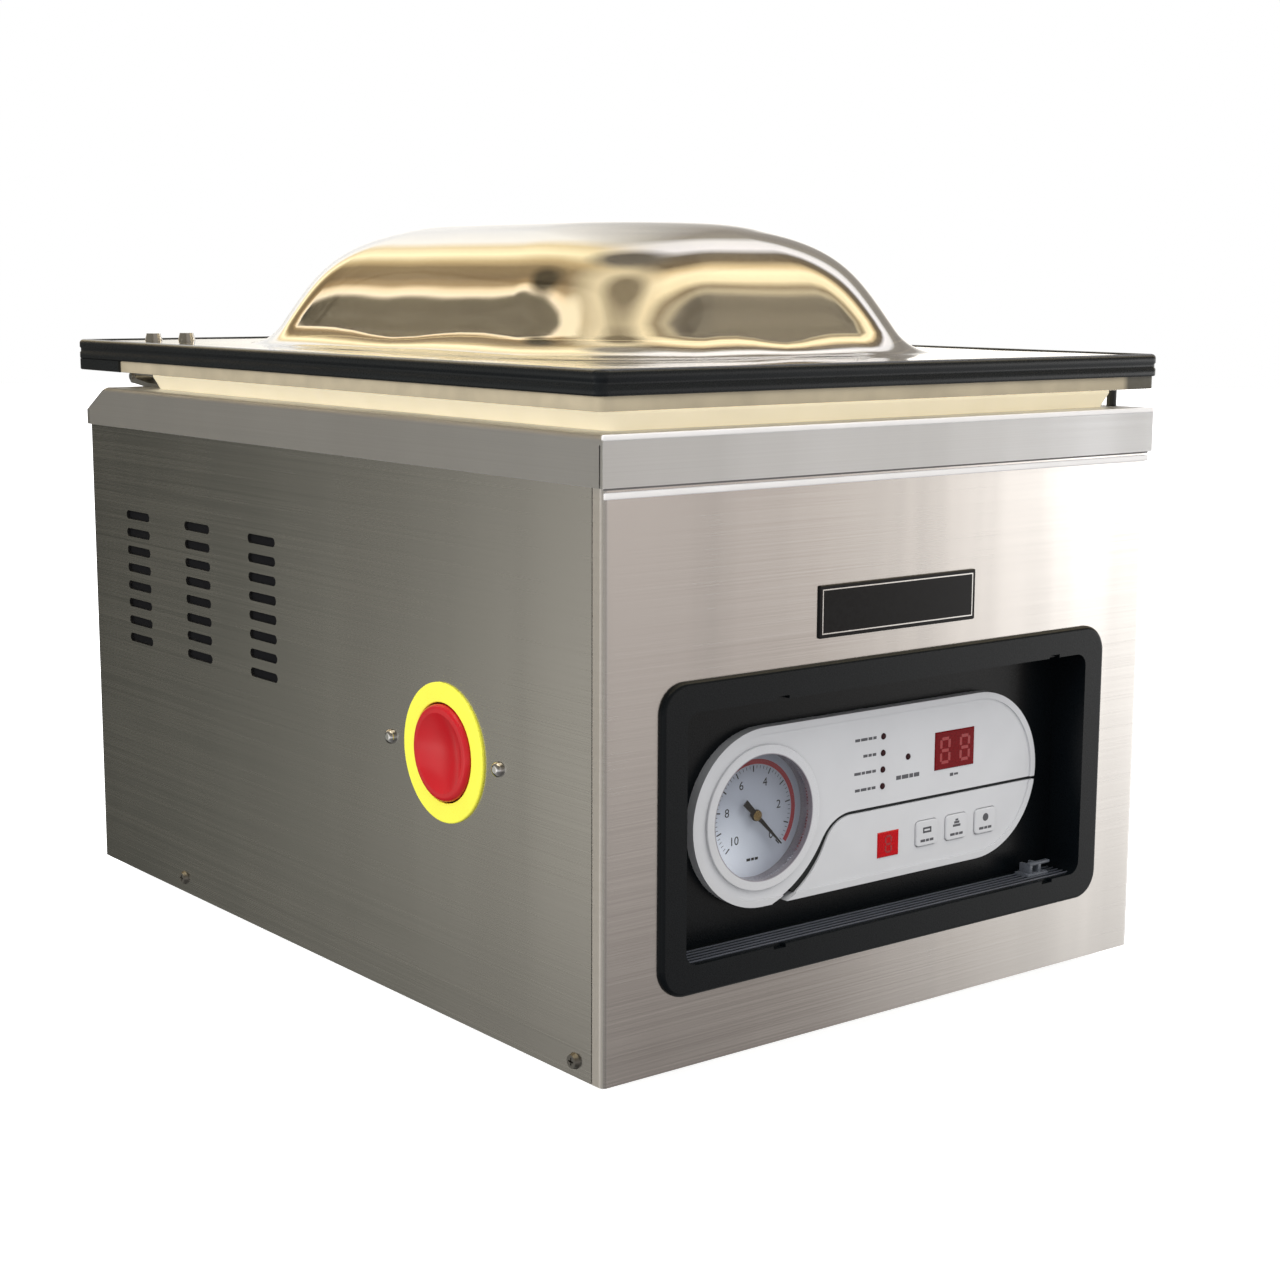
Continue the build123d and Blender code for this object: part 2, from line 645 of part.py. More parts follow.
# --------------------------------------------------------------------- lid switch
PLUNGER_R = 2.4
SWITCH_W = 8.0
SWITCH_L = 28.0
SWITCH_H = 22.0
SWITCH_TOP_Z = DECK_Z - SHEET
with BuildPart() as lid_switch:
    with BuildSketch(level(SWITCH_TOP_Z)):
        with Locations((SWITCH_X, SWITCH_Y)):
            Rectangle(SWITCH_W, SWITCH_L)
            Circle(PLUNGER_R + RUNNING, mode=Mode.SUBTRACT)
    extrude(amount=-SWITCH_H)
    with BuildSketch(level(SWITCH_TOP_Z - SWITCH_H)):
        with Locations((SWITCH_X, SWITCH_Y)):
            Rectangle(SWITCH_W, SWITCH_L)
    extrude(amount=-2.0)
    with BuildSketch(level(SWITCH_TOP_Z - SWITCH_H - 2.0)):
        with Locations(*[(SWITCH_X, SWITCH_Y + step) for step in (-9.0, 0.0, 9.0)]):
            Rectangle(4.0, 1.0)
    extrude(amount=-6.0)

with BuildPart() as lid_switch_plunger:
    with BuildSketch(level(DECK_Z - SHEET - 16.0)):
        with Locations((SWITCH_X, SWITCH_Y)):
            Circle(PLUNGER_R)
    extrude(amount=LID_Z - 0.4 - DECK_Z + SHEET + 16.0)
    fillet(lid_switch_plunger.faces().sort_by(Axis.Z)[-1].edges(), radius=1.2)

# ================================================================== front controls
BEZEL_Z = BASE_Z + 98.5
BEZEL_FLOOR = 2.5
BOARD_FACE_Y = PANEL_BACK_Y + 11.0
BOARD_X = 40.0
RECESS_W = BEZEL_WIDTH - 2 * BEZEL_BORDER
RECESS_H = BEZEL_HEIGHT - 2 * BEZEL_BORDER
KEY_PITCH = 19.6
KEY_PLACES = [(34.0 + step * KEY_PITCH, BASE_Z + 75.0) for step in range(3)]
KEY_W = 14.0
KEY_H = 12.0
KEY_GAP = 0.3
GAUGE_CASE_R = GAUGE_R + 2.0
NOTCH_PLACES = [
    (BEZEL_WIDTH * (part - 0.5), BEZEL_Z + side * (BEZEL_HEIGHT / 2 - BEZEL_BORDER))
    for part in (0.24, 0.87)
    for side in (-1, 1)
]

with BuildPart() as bezel:
    with BuildSketch(facing_front(-HALF_D)):
        with Locations((0, BEZEL_Z)):
            RectangleRounded(BEZEL_WIDTH, BEZEL_HEIGHT, 13.0)
    extrude(amount=BEZEL_PROUD)
    fillet(bezel.faces().sort_by(Axis.Y)[0].edges(), radius=1.8)
    with BuildSketch(facing_front(PANEL_BACK_Y + BEZEL_FLOOR)):
        with Locations((0, BEZEL_Z)):
            RectangleRounded(BEZEL_HOLE_W - 1.0, BEZEL_HOLE_H - 1.0, 8.0)
    extrude(amount=PANEL_BACK_Y + BEZEL_FLOOR + HALF_D)
    with BuildSketch(facing_front(PANEL_BACK_Y)):
        with Locations((0, BEZEL_Z)):
            RectangleRounded(RECESS_W, RECESS_H, 6.0)
    extrude(amount=PANEL_BACK_Y + HALF_D + BEZEL_PROUD + 1.0, mode=Mode.SUBTRACT)
    with BuildSketch(facing_front(PANEL_BACK_Y + BEZEL_FLOOR)):
        with Locations((GAUGE_X, CONTROL_Z)):
            Circle(GAUGE_CASE_R)
        with Locations(*KEY_PLACES):
            Rectangle(7.0, 7.0)
    extrude(amount=BEZEL_FLOOR, mode=Mode.SUBTRACT)
    with BuildSketch(facing_front(-HALF_D)):
        with Locations(*NOTCH_PLACES):
            Rectangle(7.0, 3.0)
    extrude(amount=BEZEL_PROUD + 1.0, mode=Mode.SUBTRACT)
    # moulded posts that carry the control board
    with BuildSketch(facing_front(BOARD_FACE_Y)):
        with Locations((BOARD_X, CONTROL_Z)):
            with GridLocations(118.0, 56.0, 2, 2):
                Circle(3.0)
    extrude(amount=BOARD_FACE_Y - PANEL_BACK_Y - BEZEL_FLOOR)

GROOVE_W = 1.6  # dark groove between the two mouldings; wider along its bend
BORDER = 3.0
BORDER_RISE = 0.8
SKIN_Y = PANEL_FACE_Y + BORDER_RISE


def key_side(shift):
    """Face on the keys' side of the groove, its border moved outwards by a shift."""
    with BuildSketch() as region:
        with BuildLine():
            run = Line((PANEL_LENGTH, -6.0 + shift), (-14.0, -6.0 + shift))
            bend_end = (-30.5 - 1.5 * shift, -16.0 + 0.75 * shift)
            bend = TangentArc(run @ 1, bend_end, tangent=run % 1)
            low_end = (-60.0 - 1.6 * shift, -41.0 + 1.6 * shift)
            sweep_out = TangentArc(bend @ 1, low_end, tangent=bend % 1)
            Polyline(sweep_out @ 1, (-70.0, -90.0), (PANEL_LENGTH, -90.0), run @ 0)
        make_face()
    return region.sketch


def panel_half(keys):
    """One moulding of the control panel: the keys' side or the gauge's side."""
    with BuildPart() as half:
        with BuildSketch(facing_front(PANEL_BACK_Y)):
            with Locations((0, CONTROL_Z)):
                SlotOverall(PANEL_LENGTH, PANEL_HEIGHT)
                if keys:
                    add(key_side(-GROOVE_W / 2), mode=Mode.INTERSECT)
                else:
                    add(key_side(GROOVE_W / 2), mode=Mode.SUBTRACT)
        extrude(amount=PANEL_THICK)
        with BuildSketch(facing_front(SKIN_Y)):
            with Locations((0, CONTROL_Z)):
                SlotOverall(PANEL_LENGTH - 2 * BORDER, PANEL_HEIGHT - 2 * BORDER)
        extrude(amount=BORDER_RISE, mode=Mode.SUBTRACT)
    return half.part


BIG_DISPLAY = (51.5, BASE_Z + 112.6)
SMALL_DISPLAY = (9.4, BASE_Z + 73.5)
LED_PLACES = [(5.2, BASE_Z + 124.2 - row * 7.7) for row in range(4)]
LED_PLACES.append((21.2, BASE_Z + 112.7))
LED_R = 1.5

with BuildPart() as control_panel:
    add(panel_half(False))
    with BuildSketch(facing_front(PANEL_BACK_Y)):
        with Locations((GAUGE_X, CONTROL_Z)):
            Circle(GAUGE_CASE_R)
        with Locations(*LED_PLACES):
            Circle(LED_R)
        with Locations(BIG_DISPLAY):
            Rectangle(26.0, 18.0)
    extrude(amount=PANEL_THICK, mode=Mode.SUBTRACT)

with BuildPart() as key_panel:
    add(panel_half(True))
    with BuildSketch(facing_front(PANEL_BACK_Y)):
        with Locations((GAUGE_X, CONTROL_Z)):
            Circle(GAUGE_CASE_R + 0.2)
        with Locations(SMALL_DISPLAY):
            Rectangle(13.4, 11.9)
        with Locations(*KEY_PLACES):
            RectangleRounded(KEY_W + 2 * KEY_GAP, KEY_H + 2 * KEY_GAP, 2.3)
    extrude(amount=PANEL_THICK, mode=Mode.SUBTRACT)


def display_block(place, width, height):
    """Display module whose window stands a little proud of the panel's skin."""
    with BuildPart() as module:
        with BuildSketch(facing_front(PANEL_BACK_Y)):
            with Locations(place):
                Rectangle(width, height)
        extrude(amount=PANEL_THICK - BORDER_RISE + 0.5)
        chamfer(module.faces().sort_by(Axis.Y)[0].edges(), length=0.4)
    return module.part


with BuildPart() as time_display:
    add(display_block(BIG_DISPLAY, 26.0, 18.0))

with BuildPart() as level_display:
    add(display_block(SMALL_DISPLAY, 13.4, 11.9))

with BuildPart() as indicator_leds:
    with BuildSketch(facing_front(PANEL_BACK_Y)):
        with Locations(*LED_PLACES):
            Circle(LED_R)
    extrude(amount=PANEL_THICK - BORDER_RISE + 0.6)
    fillet(indicator_leds.faces().group_by(Axis.Y)[0].edges(), radius=0.7)

KEY_PROUD = 0.9
KEY_CAP = 3.4


def key_body(place):
    """Key cap with the stem that reaches back to its switch."""
    cap_back = SKIN_Y - KEY_PROUD + KEY_CAP
    with BuildPart() as cap:
        with BuildSketch(facing_front(cap_back)):
            with Locations(place):
                RectangleRounded(KEY_W, KEY_H, 2.0)
        extrude(amount=KEY_CAP)
        fillet(cap.faces().sort_by(Axis.Y)[0].edges(), radius=0.6)
        with BuildSketch(facing_front(BOARD_FACE_Y - 2.0 - KEY_TRAVEL - 0.2)):
            with Locations(place):
                Rectangle(5.0, 5.0)
        extrude(amount=BOARD_FACE_Y - 2.0 - KEY_TRAVEL - 0.2 - cap_back)
    return cap.part


with BuildPart() as key_left:
    add(key_body(KEY_PLACES[0]))

with BuildPart() as key_middle:
    add(key_body(KEY_PLACES[1]))

with BuildPart() as key_right:
    add(key_body(KEY_PLACES[2]))

with BuildPart() as control_board:
    with BuildSketch(facing_front(BOARD_FACE_Y + 1.6)):
        with Locations((BOARD_X, CONTROL_Z)):
            Rectangle(128.0, 66.0)
    extrude(amount=1.6)
    with BuildSketch(facing_front(BOARD_FACE_Y)):
        with Locations(*KEY_PLACES):
            Rectangle(6.0, 6.0)
    extrude(amount=2.0)
    with BuildSketch(facing_front(BOARD_FACE_Y + 1.6)):
        with Locations((20.0, CONTROL_Z - 8.0), (62.0, CONTROL_Z + 12.0)):
            Rectangle(22.0, 14.0)
    extrude(amount=-3.0)

# ---------------------------------------------------------------------- vacuum gauge
DIAL_SETBACK = 8.0
DIAL_Y = PANEL_FACE_Y + DIAL_SETBACK
CASE_BACK_Y = PANEL_FACE_Y + 26.0
NEEDLE_ZERO = -45.0  # degrees from the right; the scale's zero end
NEEDLE_R = 21.0
with BuildPart() as gauge_case:
    with BuildSketch(facing_front(CASE_BACK_Y)):
        with Locations((GAUGE_X, CONTROL_Z)):
            Circle(GAUGE_CASE_R)
    extrude(amount=CASE_BACK_Y - PANEL_FACE_Y)
    with BuildSketch(facing_front(SKIN_Y)):
        with Locations((GAUGE_X, CONTROL_Z)):
            Circle(GAUGE_CASE_R + 2.5)
    extrude(amount=1.2)
    fillet(gauge_case.faces().sort_by(Axis.Y)[0].edges(), radius=0.5)
    with BuildSketch(facing_front(DIAL_Y + 1.0)):
        with Locations((GAUGE_X, CONTROL_Z)):
            Circle(GAUGE_R)
    extrude(amount=DIAL_SETBACK + 4.0, mode=Mode.SUBTRACT)
    with BuildSketch(facing_front(DIAL_Y + 12.0)):
        with Locations((GAUGE_X, CONTROL_Z)):
            Circle(GAUGE_R - 3.0)
    extrude(amount=12.0, mode=Mode.SUBTRACT)
    with BuildSketch(facing_front(CASE_BACK_Y)):
        with Locations((GAUGE_X, CONTROL_Z)):
            RegularPolygon(8.0, 6)
    extrude(amount=-8.0)
    with BuildSketch(facing_front(CASE_BACK_Y + 8.0)):
        with Locations((GAUGE_X, CONTROL_Z)):
            Circle(5.0)
    extrude(amount=-12.0)

with BuildPart() as gauge_dial:
    with BuildSketch(facing_front(DIAL_Y + 1.0)):
        with Locations((GAUGE_X, CONTROL_Z)):
            Circle(GAUGE_R)
            Circle(1.5 + RUNNING, mode=Mode.SUBTRACT)
    extrude(amount=1.0)

with BuildPart() as gauge_needle:
    needle_plane = Plane(
        origin=(GAUGE_X, DIAL_Y - 2.0, CONTROL_Z),
        x_dir=(math.cos(math.radians(NEEDLE_ZERO)), 0, math.sin(math.radians(NEEDLE_ZERO))),
        z_dir=(0, -1, 0),
    )
    with BuildSketch(needle_plane):
        with BuildLine():
            Polyline(
                (-9.0, -1.5),
                (0, -1.1),
                (NEEDLE_R, -0.25),
                (NEEDLE_R, 0.25),
                (0, 1.1),
                (-9.0, 1.5),
                close=True,
            )
        make_face()
        Circle(2.6)
    extrude(amount=0.6)
    with BuildSketch(needle_plane.offset(-4.0)):
        Circle(1.5)
    extrude(amount=5.2)

with BuildPart() as gauge_lens:
    with BuildSketch(facing_front(PANEL_FACE_Y + 3.6)):
        with Locations((GAUGE_X, CONTROL_Z)):
            Circle(GAUGE_R)
    extrude(amount=1.4)

with BuildPart() as nameplate:
    with BuildSketch(facing_front(-HALF_D)):
        with Locations((-1.3, BASE_Z + 187.5)):
            RectangleRounded(96.0, 23.0, 0.8)
    extrude(amount=1.0)
    chamfer(nameplate.faces().sort_by(Axis.Y)[0].edges(), length=0.3)

# =================================================================== emergency stop
STOP_HEAD_R = 21.9
STOP_HEAD_PROUD = 3.0
STOP_HEAD_THICK = 12.0
STOP_DISH = 3.6
STOP_DISH_R = 18.0
STOP_RING_PROUD = 1.2
STOP_STEM_R = 6.0
STEM_SOCKET = 5.0
STEM_LENGTH = 30.0
CUP_DEPTH = 19.0
CUP_WALL = 2.0
INNER_X = -HALF_W + SHEET
HEAD_FACE_X = -HALF_W - STOP_HEAD_PROUD
HEAD_BACK_X = HEAD_FACE_X + STOP_HEAD_THICK

with BuildPart() as stop_ring:
    with BuildSketch(facing_right(-HALF_W)):
        with Locations((STOP_Y, STOP_Z)):
            Circle(STOP_RING_R)
            Circle(STOP_HOLE_R, mode=Mode.SUBTRACT)
    extrude(amount=-STOP_RING_PROUD)
    fillet(stop_ring.faces().sort_by(Axis.X)[0].edges(), radius=0.6)

with BuildPart() as stop_housing:
    with BuildSketch(facing_right(INNER_X)):
        with Locations((STOP_Y + 1.0, STOP_Z)):
            RectangleRounded(104.0, 54.0, 6.0)
        with Locations(*STOP_SCREWS):
            Circle(SCREW_R, mode=Mode.SUBTRACT)
    extrude(amount=2.0)
    with BuildSketch(facing_right(INNER_X)):
        with Locations((STOP_Y, STOP_Z)):
            Circle(STOP_HOLE_R + CUP_WALL)
    extrude(amount=CUP_DEPTH)
    with BuildSketch(facing_right(INNER_X)):
        with Locations((STOP_Y, STOP_Z)):
            Circle(STOP_HOLE_R + 0.3)
    extrude(amount=CUP_DEPTH - 3.0, mode=Mode.SUBTRACT)
    with BuildSketch(facing_right(INNER_X)):
        with Locations((STOP_Y, STOP_Z)):
            Circle(STOP_STEM_R + RUNNING)
    extrude(amount=CUP_DEPTH + 1.0, mode=Mode.SUBTRACT)

STOP_AXIS = Axis((0, STOP_Y, STOP_Z), (1, 0, 0))
with BuildPart() as stop_head:
    with BuildSketch(Plane((0, STOP_Y, STOP_Z), (1, 0, 0), (0, -1, 0))):
        with BuildLine():
            dish = ThreePointArc(
                (HEAD_FACE_X + STOP_DISH, 0),
                (HEAD_FACE_X + STOP_DISH * 0.75, STOP_DISH_R / 2),
                (HEAD_FACE_X, STOP_DISH_R),
            )
            rim = Line(dish @ 1, (HEAD_FACE_X, STOP_HEAD_R - 2.2))
            edge = TangentArc(rim @ 1, (HEAD_FACE_X + 2.2, STOP_HEAD_R), tangent=rim % 1)
            Polyline(
                edge @ 1,
                (HEAD_BACK_X, STOP_HEAD_R),
                (HEAD_BACK_X, STOP_STEM_R + RUNNING),
                (HEAD_BACK_X - STEM_SOCKET, STOP_STEM_R + RUNNING),
                (HEAD_BACK_X - STEM_SOCKET, 0),
                dish @ 0,
            )
        make_face()
    revolve(axis=STOP_AXIS)

with BuildPart() as stop_stem:
    with BuildSketch(facing_right(HEAD_BACK_X - STEM_SOCKET + 0.3)):
        with Locations((STOP_Y, STOP_Z)):
            Circle(STOP_STEM_R)
    extrude(amount=STEM_LENGTH)

STEM_END_X = HEAD_BACK_X - STEM_SOCKET + 0.3 + STEM_LENGTH
CUP_BACK_X = INNER_X + CUP_DEPTH
with BuildPart() as stop_contacts:
    with BuildSketch(facing_right(CUP_BACK_X)):
        with Locations((STOP_Y, STOP_Z)):
            RectangleRounded(32.0, 40.0, 2.0)
    extrude(amount=30.0)
    with BuildSketch(facing_right(CUP_BACK_X)):
        with Locations((STOP_Y, STOP_Z)):
            Circle(STOP_STEM_R + 1.0)
    extrude(amount=STEM_END_X + STOP_TRAVEL + 1.0 - CUP_BACK_X, mode=Mode.SUBTRACT)

with BuildPart() as stop_screws:
    with BuildSketch(facing_right(-HALF_W)):
        with Locations(*STOP_SCREWS):
            Circle(3.4)
    extrude(amount=-2.4)
    fillet(stop_screws.faces().group_by(Axis.X)[0].edges(), radius=2.0)
    with BuildSketch(facing_right(-HALF_W)):
        with Locations(*STOP_SCREWS):
            Circle(SCREW_R)
    extrude(amount=9.0)

# ======================================================================== internals
PUMP_Y = 62.0
PUMP_Z = BASE_Z + 88.0
MOTOR_R = 58.0
MOTOR_X = -20.0  # face between the motor and the pump
MOTOR_LENGTH = 108.0
PUMP_LENGTH = 96.0
COWL_LENGTH = 28.0
SHAFT_R = 7.0
MOUNT_HEIGHT = 14.0
MOUNT_PLACES = [(x, PUMP_Y + y) for x in (-105.0, 62.0) for y in (-42.0, 42.0)]
MOUNT_TOP_Z = FLOOR_Z + MOUNT_HEIGHT
FOOT_SPAN = 112.0
FOOT_PLATE = 5.0

with BuildPart() as pump_mounts:
    with BuildSketch(level(FLOOR_Z)):
        with Locations(*MOUNT_PLACES):
            Circle(11.0)
    extrude(amount=MOUNT_HEIGHT)
    chamfer(pump_mounts.faces().group_by(Axis.Z)[-1].edges(), length=1.5)

with BuildPart() as pump_motor:
    with BuildSketch(facing_right(MOTOR_X - MOTOR_LENGTH)):
        with Locations((PUMP_Y, PUMP_Z)):
            Circle(MOTOR_R - 4.0)
            with PolarLocations(MOTOR_R - 3.0, 24):
                Rectangle(8.0, 2.4)
    extrude(amount=MOTOR_LENGTH)
    with BuildSketch(level(MOUNT_TOP_Z)):
        with Locations((MOTOR_X - MOTOR_LENGTH / 2, PUMP_Y)):
            RectangleRounded(MOTOR_LENGTH, FOOT_SPAN, 6.0)
    extrude(amount=FOOT_PLATE)
    with BuildSketch(level(MOUNT_TOP_Z + FOOT_PLATE)):
        with Locations((MOTOR_X - MOTOR_LENGTH / 2, PUMP_Y)):
            Rectangle(70.0, 60.0)
    extrude(amount=PUMP_Z - MOTOR_R * 0.7 - MOUNT_TOP_Z - FOOT_PLATE)
    with BuildSketch(facing_right(MOTOR_X - MOTOR_LENGTH)):
        with Locations((PUMP_Y, PUMP_Z)):
            Circle(SHAFT_R + RUNNING)
    extrude(amount=20.0, mode=Mode.SUBTRACT)

COWL_X = MOTOR_X - MOTOR_LENGTH - COWL_LENGTH
with BuildPart() as motor_cowl:
    with BuildSketch(facing_right(COWL_X)):
        with Locations((PUMP_Y, PUMP_Z)):
            Circle(MOTOR_R)
    extrude(amount=COWL_LENGTH)
    fillet(motor_cowl.faces().sort_by(Axis.X)[0].edges(), radius=5.0)
    with BuildSketch(facing_right(COWL_X + 1.5)):
        with Locations((PUMP_Y, PUMP_Z)):
            Circle(MOTOR_R - 3.0)
    extrude(amount=COWL_LENGTH, mode=Mode.SUBTRACT)
    with BuildSketch(facing_right(COWL_X)):
        with Locations((PUMP_Y, PUMP_Z)):
            with PolarLocations(27.0, 12):
                SlotOverall(30.0, 6.0)
    extrude(amount=COWL_LENGTH / 2, mode=Mode.SUBTRACT)

with BuildPart() as motor_fan:
    with BuildSketch(facing_right(COWL_X + 7.0)):
        with Locations((PUMP_Y, PUMP_Z)):
            Circle(14.0)
            with PolarLocations(30.0, 7):
                Rectangle(38.0, 3.0)
    extrude(amount=15.0)
    with BuildSketch(facing_right(COWL_X + 7.0)):
        with Locations((PUMP_Y, PUMP_Z)):
            Circle(SHAFT_R)
    extrude(amount=36.0)

PUMP_END_X = MOTOR_X + PUMP_LENGTH
PUMP_BLOCK_Z = PUMP_Z + 4.0
PUMP_FRONT_Y = PUMP_Y - 52.0
INTAKE_X = PORT_X
INTAKE_Z = PUMP_Z + 28.0
SPOUT_R = 6.0
SPOUT_LENGTH = 14.0
HOSE_START_Y = PUMP_FRONT_Y - 21.0 - SPOUT_LENGTH
with BuildPart() as pump_body:
    with BuildSketch(facing_right(MOTOR_X)):
        with Locations((PUMP_Y, PUMP_BLOCK_Z)):
            RectangleRounded(104.0, 118.0, 10.0)
    extrude(amount=PUMP_LENGTH)
    with BuildSketch(facing_right(PUMP_END_X)):
        with Locations((PUMP_Y, PUMP_BLOCK_Z)):
            RectangleRounded(96.0, 110.0, 8.0)
    extrude(amount=14.0)
    with BuildSketch(level(MOUNT_TOP_Z)):
        with Locations((MOTOR_X + PUMP_LENGTH / 2, PUMP_Y)):
            RectangleRounded(PUMP_LENGTH, FOOT_SPAN, 6.0)
    extrude(amount=FOOT_PLATE)
    with BuildSketch(level(MOUNT_TOP_Z + FOOT_PLATE)):
        with Locations((MOTOR_X + PUMP_LENGTH / 2, PUMP_Y)):
            Rectangle(72.0, 70.0)
    extrude(amount=PUMP_BLOCK_Z - 50.0 - MOUNT_TOP_Z - FOOT_PLATE)
    # intake block on the pump's front with a spout towards the front
    with BuildSketch(facing_right(MOTOR_X + 40.0)):
        with Locations((PUMP_FRONT_Y - 10.0, INTAKE_Z)):
            Rectangle(22.0, 26.0)
    extrude(amount=INTAKE_X + 12.0 - MOTOR_X - 40.0)
    with BuildSketch(facing_front(HOSE_START_Y + SPOUT_LENGTH)):
        with Locations((INTAKE_X, INTAKE_Z)):
            Circle(SPOUT_R)
    extrude(amount=SPOUT_LENGTH)

HOSE_R = 8.0
HOSE_TOP_Z = TUB_FLOOR_Z - TUB_WALL - PORT_TAIL
HOSE_BEND_R = 40.0
with BuildPart() as vacuum_hose:
    with BuildLine() as hose_path:
        FilletPolyline(
            (INTAKE_X, HOSE_START_Y, INTAKE_Z),
            (INTAKE_X, PORT_Y, INTAKE_Z),
            (INTAKE_X, PORT_Y, HOSE_TOP_Z),
            radius=HOSE_BEND_R,
        )
    with BuildSketch(facing_front(HOSE_START_Y)):
        with Locations((INTAKE_X, INTAKE_Z)):
            Circle(HOSE_R)
    sweep()

with BuildPart() as transformer:
    with Locations((100.0, -150.0, FLOOR_Z + 32.0)):
        Box(60.0, 74.0, 64.0)
        Box(84.0, 50.0, 46.0)

VALVE_PLACES = [(-40.0 + step * 34.0, -150.0) for step in range(3)]
with BuildPart() as solenoid_valves:
    with BuildSketch(level(FLOOR_Z)):
        with Locations(VALVE_PLACES[1]):
            Rectangle(108.0, 34.0)
    extrude(amount=22.0)
    with BuildSketch(level(FLOOR_Z + 22.0)):
        with Locations(*VALVE_PLACES):
            RectangleRounded(26.0, 30.0, 3.0)
    extrude(amount=34.0)
    with BuildSketch(level(FLOOR_Z + 56.0)):
        with Locations(*VALVE_PLACES):
            Circle(5.0)
    extrude(amount=7.0)

with BuildPart() as power_board:
    with BuildSketch(facing_right(HALF_W - SHEET - 12.0)):
        with Locations((-60.0, BASE_Z + 120.0)):
            Rectangle(130.0, 90.0)
    extrude(amount=1.6)
    with BuildSketch(facing_right(HALF_W - SHEET - 12.0)):
        with Locations(*[(-105.0 + step * 30.0, BASE_Z + 138.0) for step in range(4)]):
            Rectangle(18.0, 22.0)
    extrude(amount=-16.0)
    with BuildSketch(facing_right(HALF_W - SHEET - 10.4)):
        with Locations((-60.0, BASE_Z + 120.0)):
            with GridLocations(120.0, 80.0, 2, 2):
                Circle(3.0)
    extrude(amount=10.4)

with BuildPart() as mains_inlet:
    with BuildSketch(facing_front(HALF_D)):
        with Locations((INLET_X, INLET_Z)):
            RectangleRounded(48.0, 30.0, 3.0)
    extrude(amount=-2.5)
    with BuildSketch(facing_front(HALF_D)):
        with Locations((INLET_X, INLET_Z)):
            Rectangle(27.6, 20.6)
    extrude(amount=22.0)
    with BuildSketch(facing_front(HALF_D + 2.5)):
        with Locations((INLET_X, INLET_Z)):
            RectangleRounded(22.0, 15.0, 2.0)
    extrude(amount=18.0, mode=Mode.SUBTRACT)
    pin_places = [(INLET_X + x, INLET_Z + z) for x, z in ((-6.0, -2.0), (0, 2.0), (6.0, -2.0))]
    with BuildSketch(facing_front(HALF_D - 15.5)):
        with Locations(*pin_places):
            Rectangle(2.0, 4.0)
    extrude(amount=-13.0)

with BuildPart() as fuse_holder:
    with BuildSketch(facing_front(HALF_D)):
        with Locations((FUSE_X, INLET_Z)):
            Circle(6.4)
    extrude(amount=34.0)
    with BuildSketch(facing_front(HALF_D)):
        with Locations((FUSE_X, INLET_Z)):
            Circle(8.5)
    extrude(amount=-5.0)
    with BuildSketch(facing_front(HALF_D + 5.0)):
        with Locations((FUSE_X, INLET_Z)):
            Rectangle(9.0, 1.4)
    extrude(amount=1.5, mode=Mode.SUBTRACT)

# =========================================================================== export
PIECES = {
    "base_pan": base_pan,
    "left_panel": left_panel,
    "right_panel": right_panel,
    "front_panel": front_panel,
    "rear_panel": rear_panel,
    "top_cover": top_cover,
    "rubber_feet": rubber_feet,
    "pan_head_screws": pan_head_screws,
    "chamber_tub": chamber_tub,
    "chamber_gasket": chamber_gasket,
    "vacuum_port": vacuum_port,
    "filler_plate": filler_plate,
    "seal_cylinders": seal_cylinders,
    "seal_pistons": seal_pistons,
    "seal_bar": seal_bar,
    "seal_insulator": seal_insulator,
    "seal_heaters": seal_heaters,
    "seal_tape": seal_tape,
    "lid_window": lid_window,
    "lid_edge_band": lid_edge_band,
    "counter_holder": counter_holder,
    "counter_silicone": counter_silicone,
    "lid_hinge_leaves": lid_hinge_leaves,
    "hinge_brackets": hinge_brackets,
    "hinge_pins": hinge_pins,
    "lid_bolts": lid_bolts,
    "lid_switch": lid_switch,
    "lid_switch_plunger": lid_switch_plunger,
    "bezel": bezel,
    "control_panel": control_panel,
    "key_panel": key_panel,
    "time_display": time_display,
    "level_display": level_display,
    "indicator_leds": indicator_leds,
    "key_left": key_left,
    "key_middle": key_middle,
    "key_right": key_right,
    "control_board": control_board,
    "gauge_case": gauge_case,
    "gauge_dial": gauge_dial,
    "gauge_needle": gauge_needle,
    "gauge_lens": gauge_lens,
    "nameplate": nameplate,
    "stop_ring": stop_ring,
    "stop_housing": stop_housing,
    "stop_head": stop_head,
    "stop_stem": stop_stem,
    "stop_contacts": stop_contacts,
    "stop_screws": stop_screws,
    "pump_mounts": pump_mounts,
    "pump_motor": pump_motor,
    "motor_cowl": motor_cowl,
    "motor_fan": motor_fan,
    "pump_body": pump_body,
    "vacuum_hose": vacuum_hose,
    "transformer": transformer,
    "solenoid_valves": solenoid_valves,
    "power_board": power_board,
    "mains_inlet": mains_inlet,
    "fuse_holder": fuse_holder,
}

os.makedirs("parts", exist_ok=True)
for name, piece in PIECES.items():
    piece.part.label = name
    export_step(piece.part, f"parts/{name}.step")
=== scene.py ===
import bmesh
import bpy
import json
import math
from mathutils import Matrix, Vector


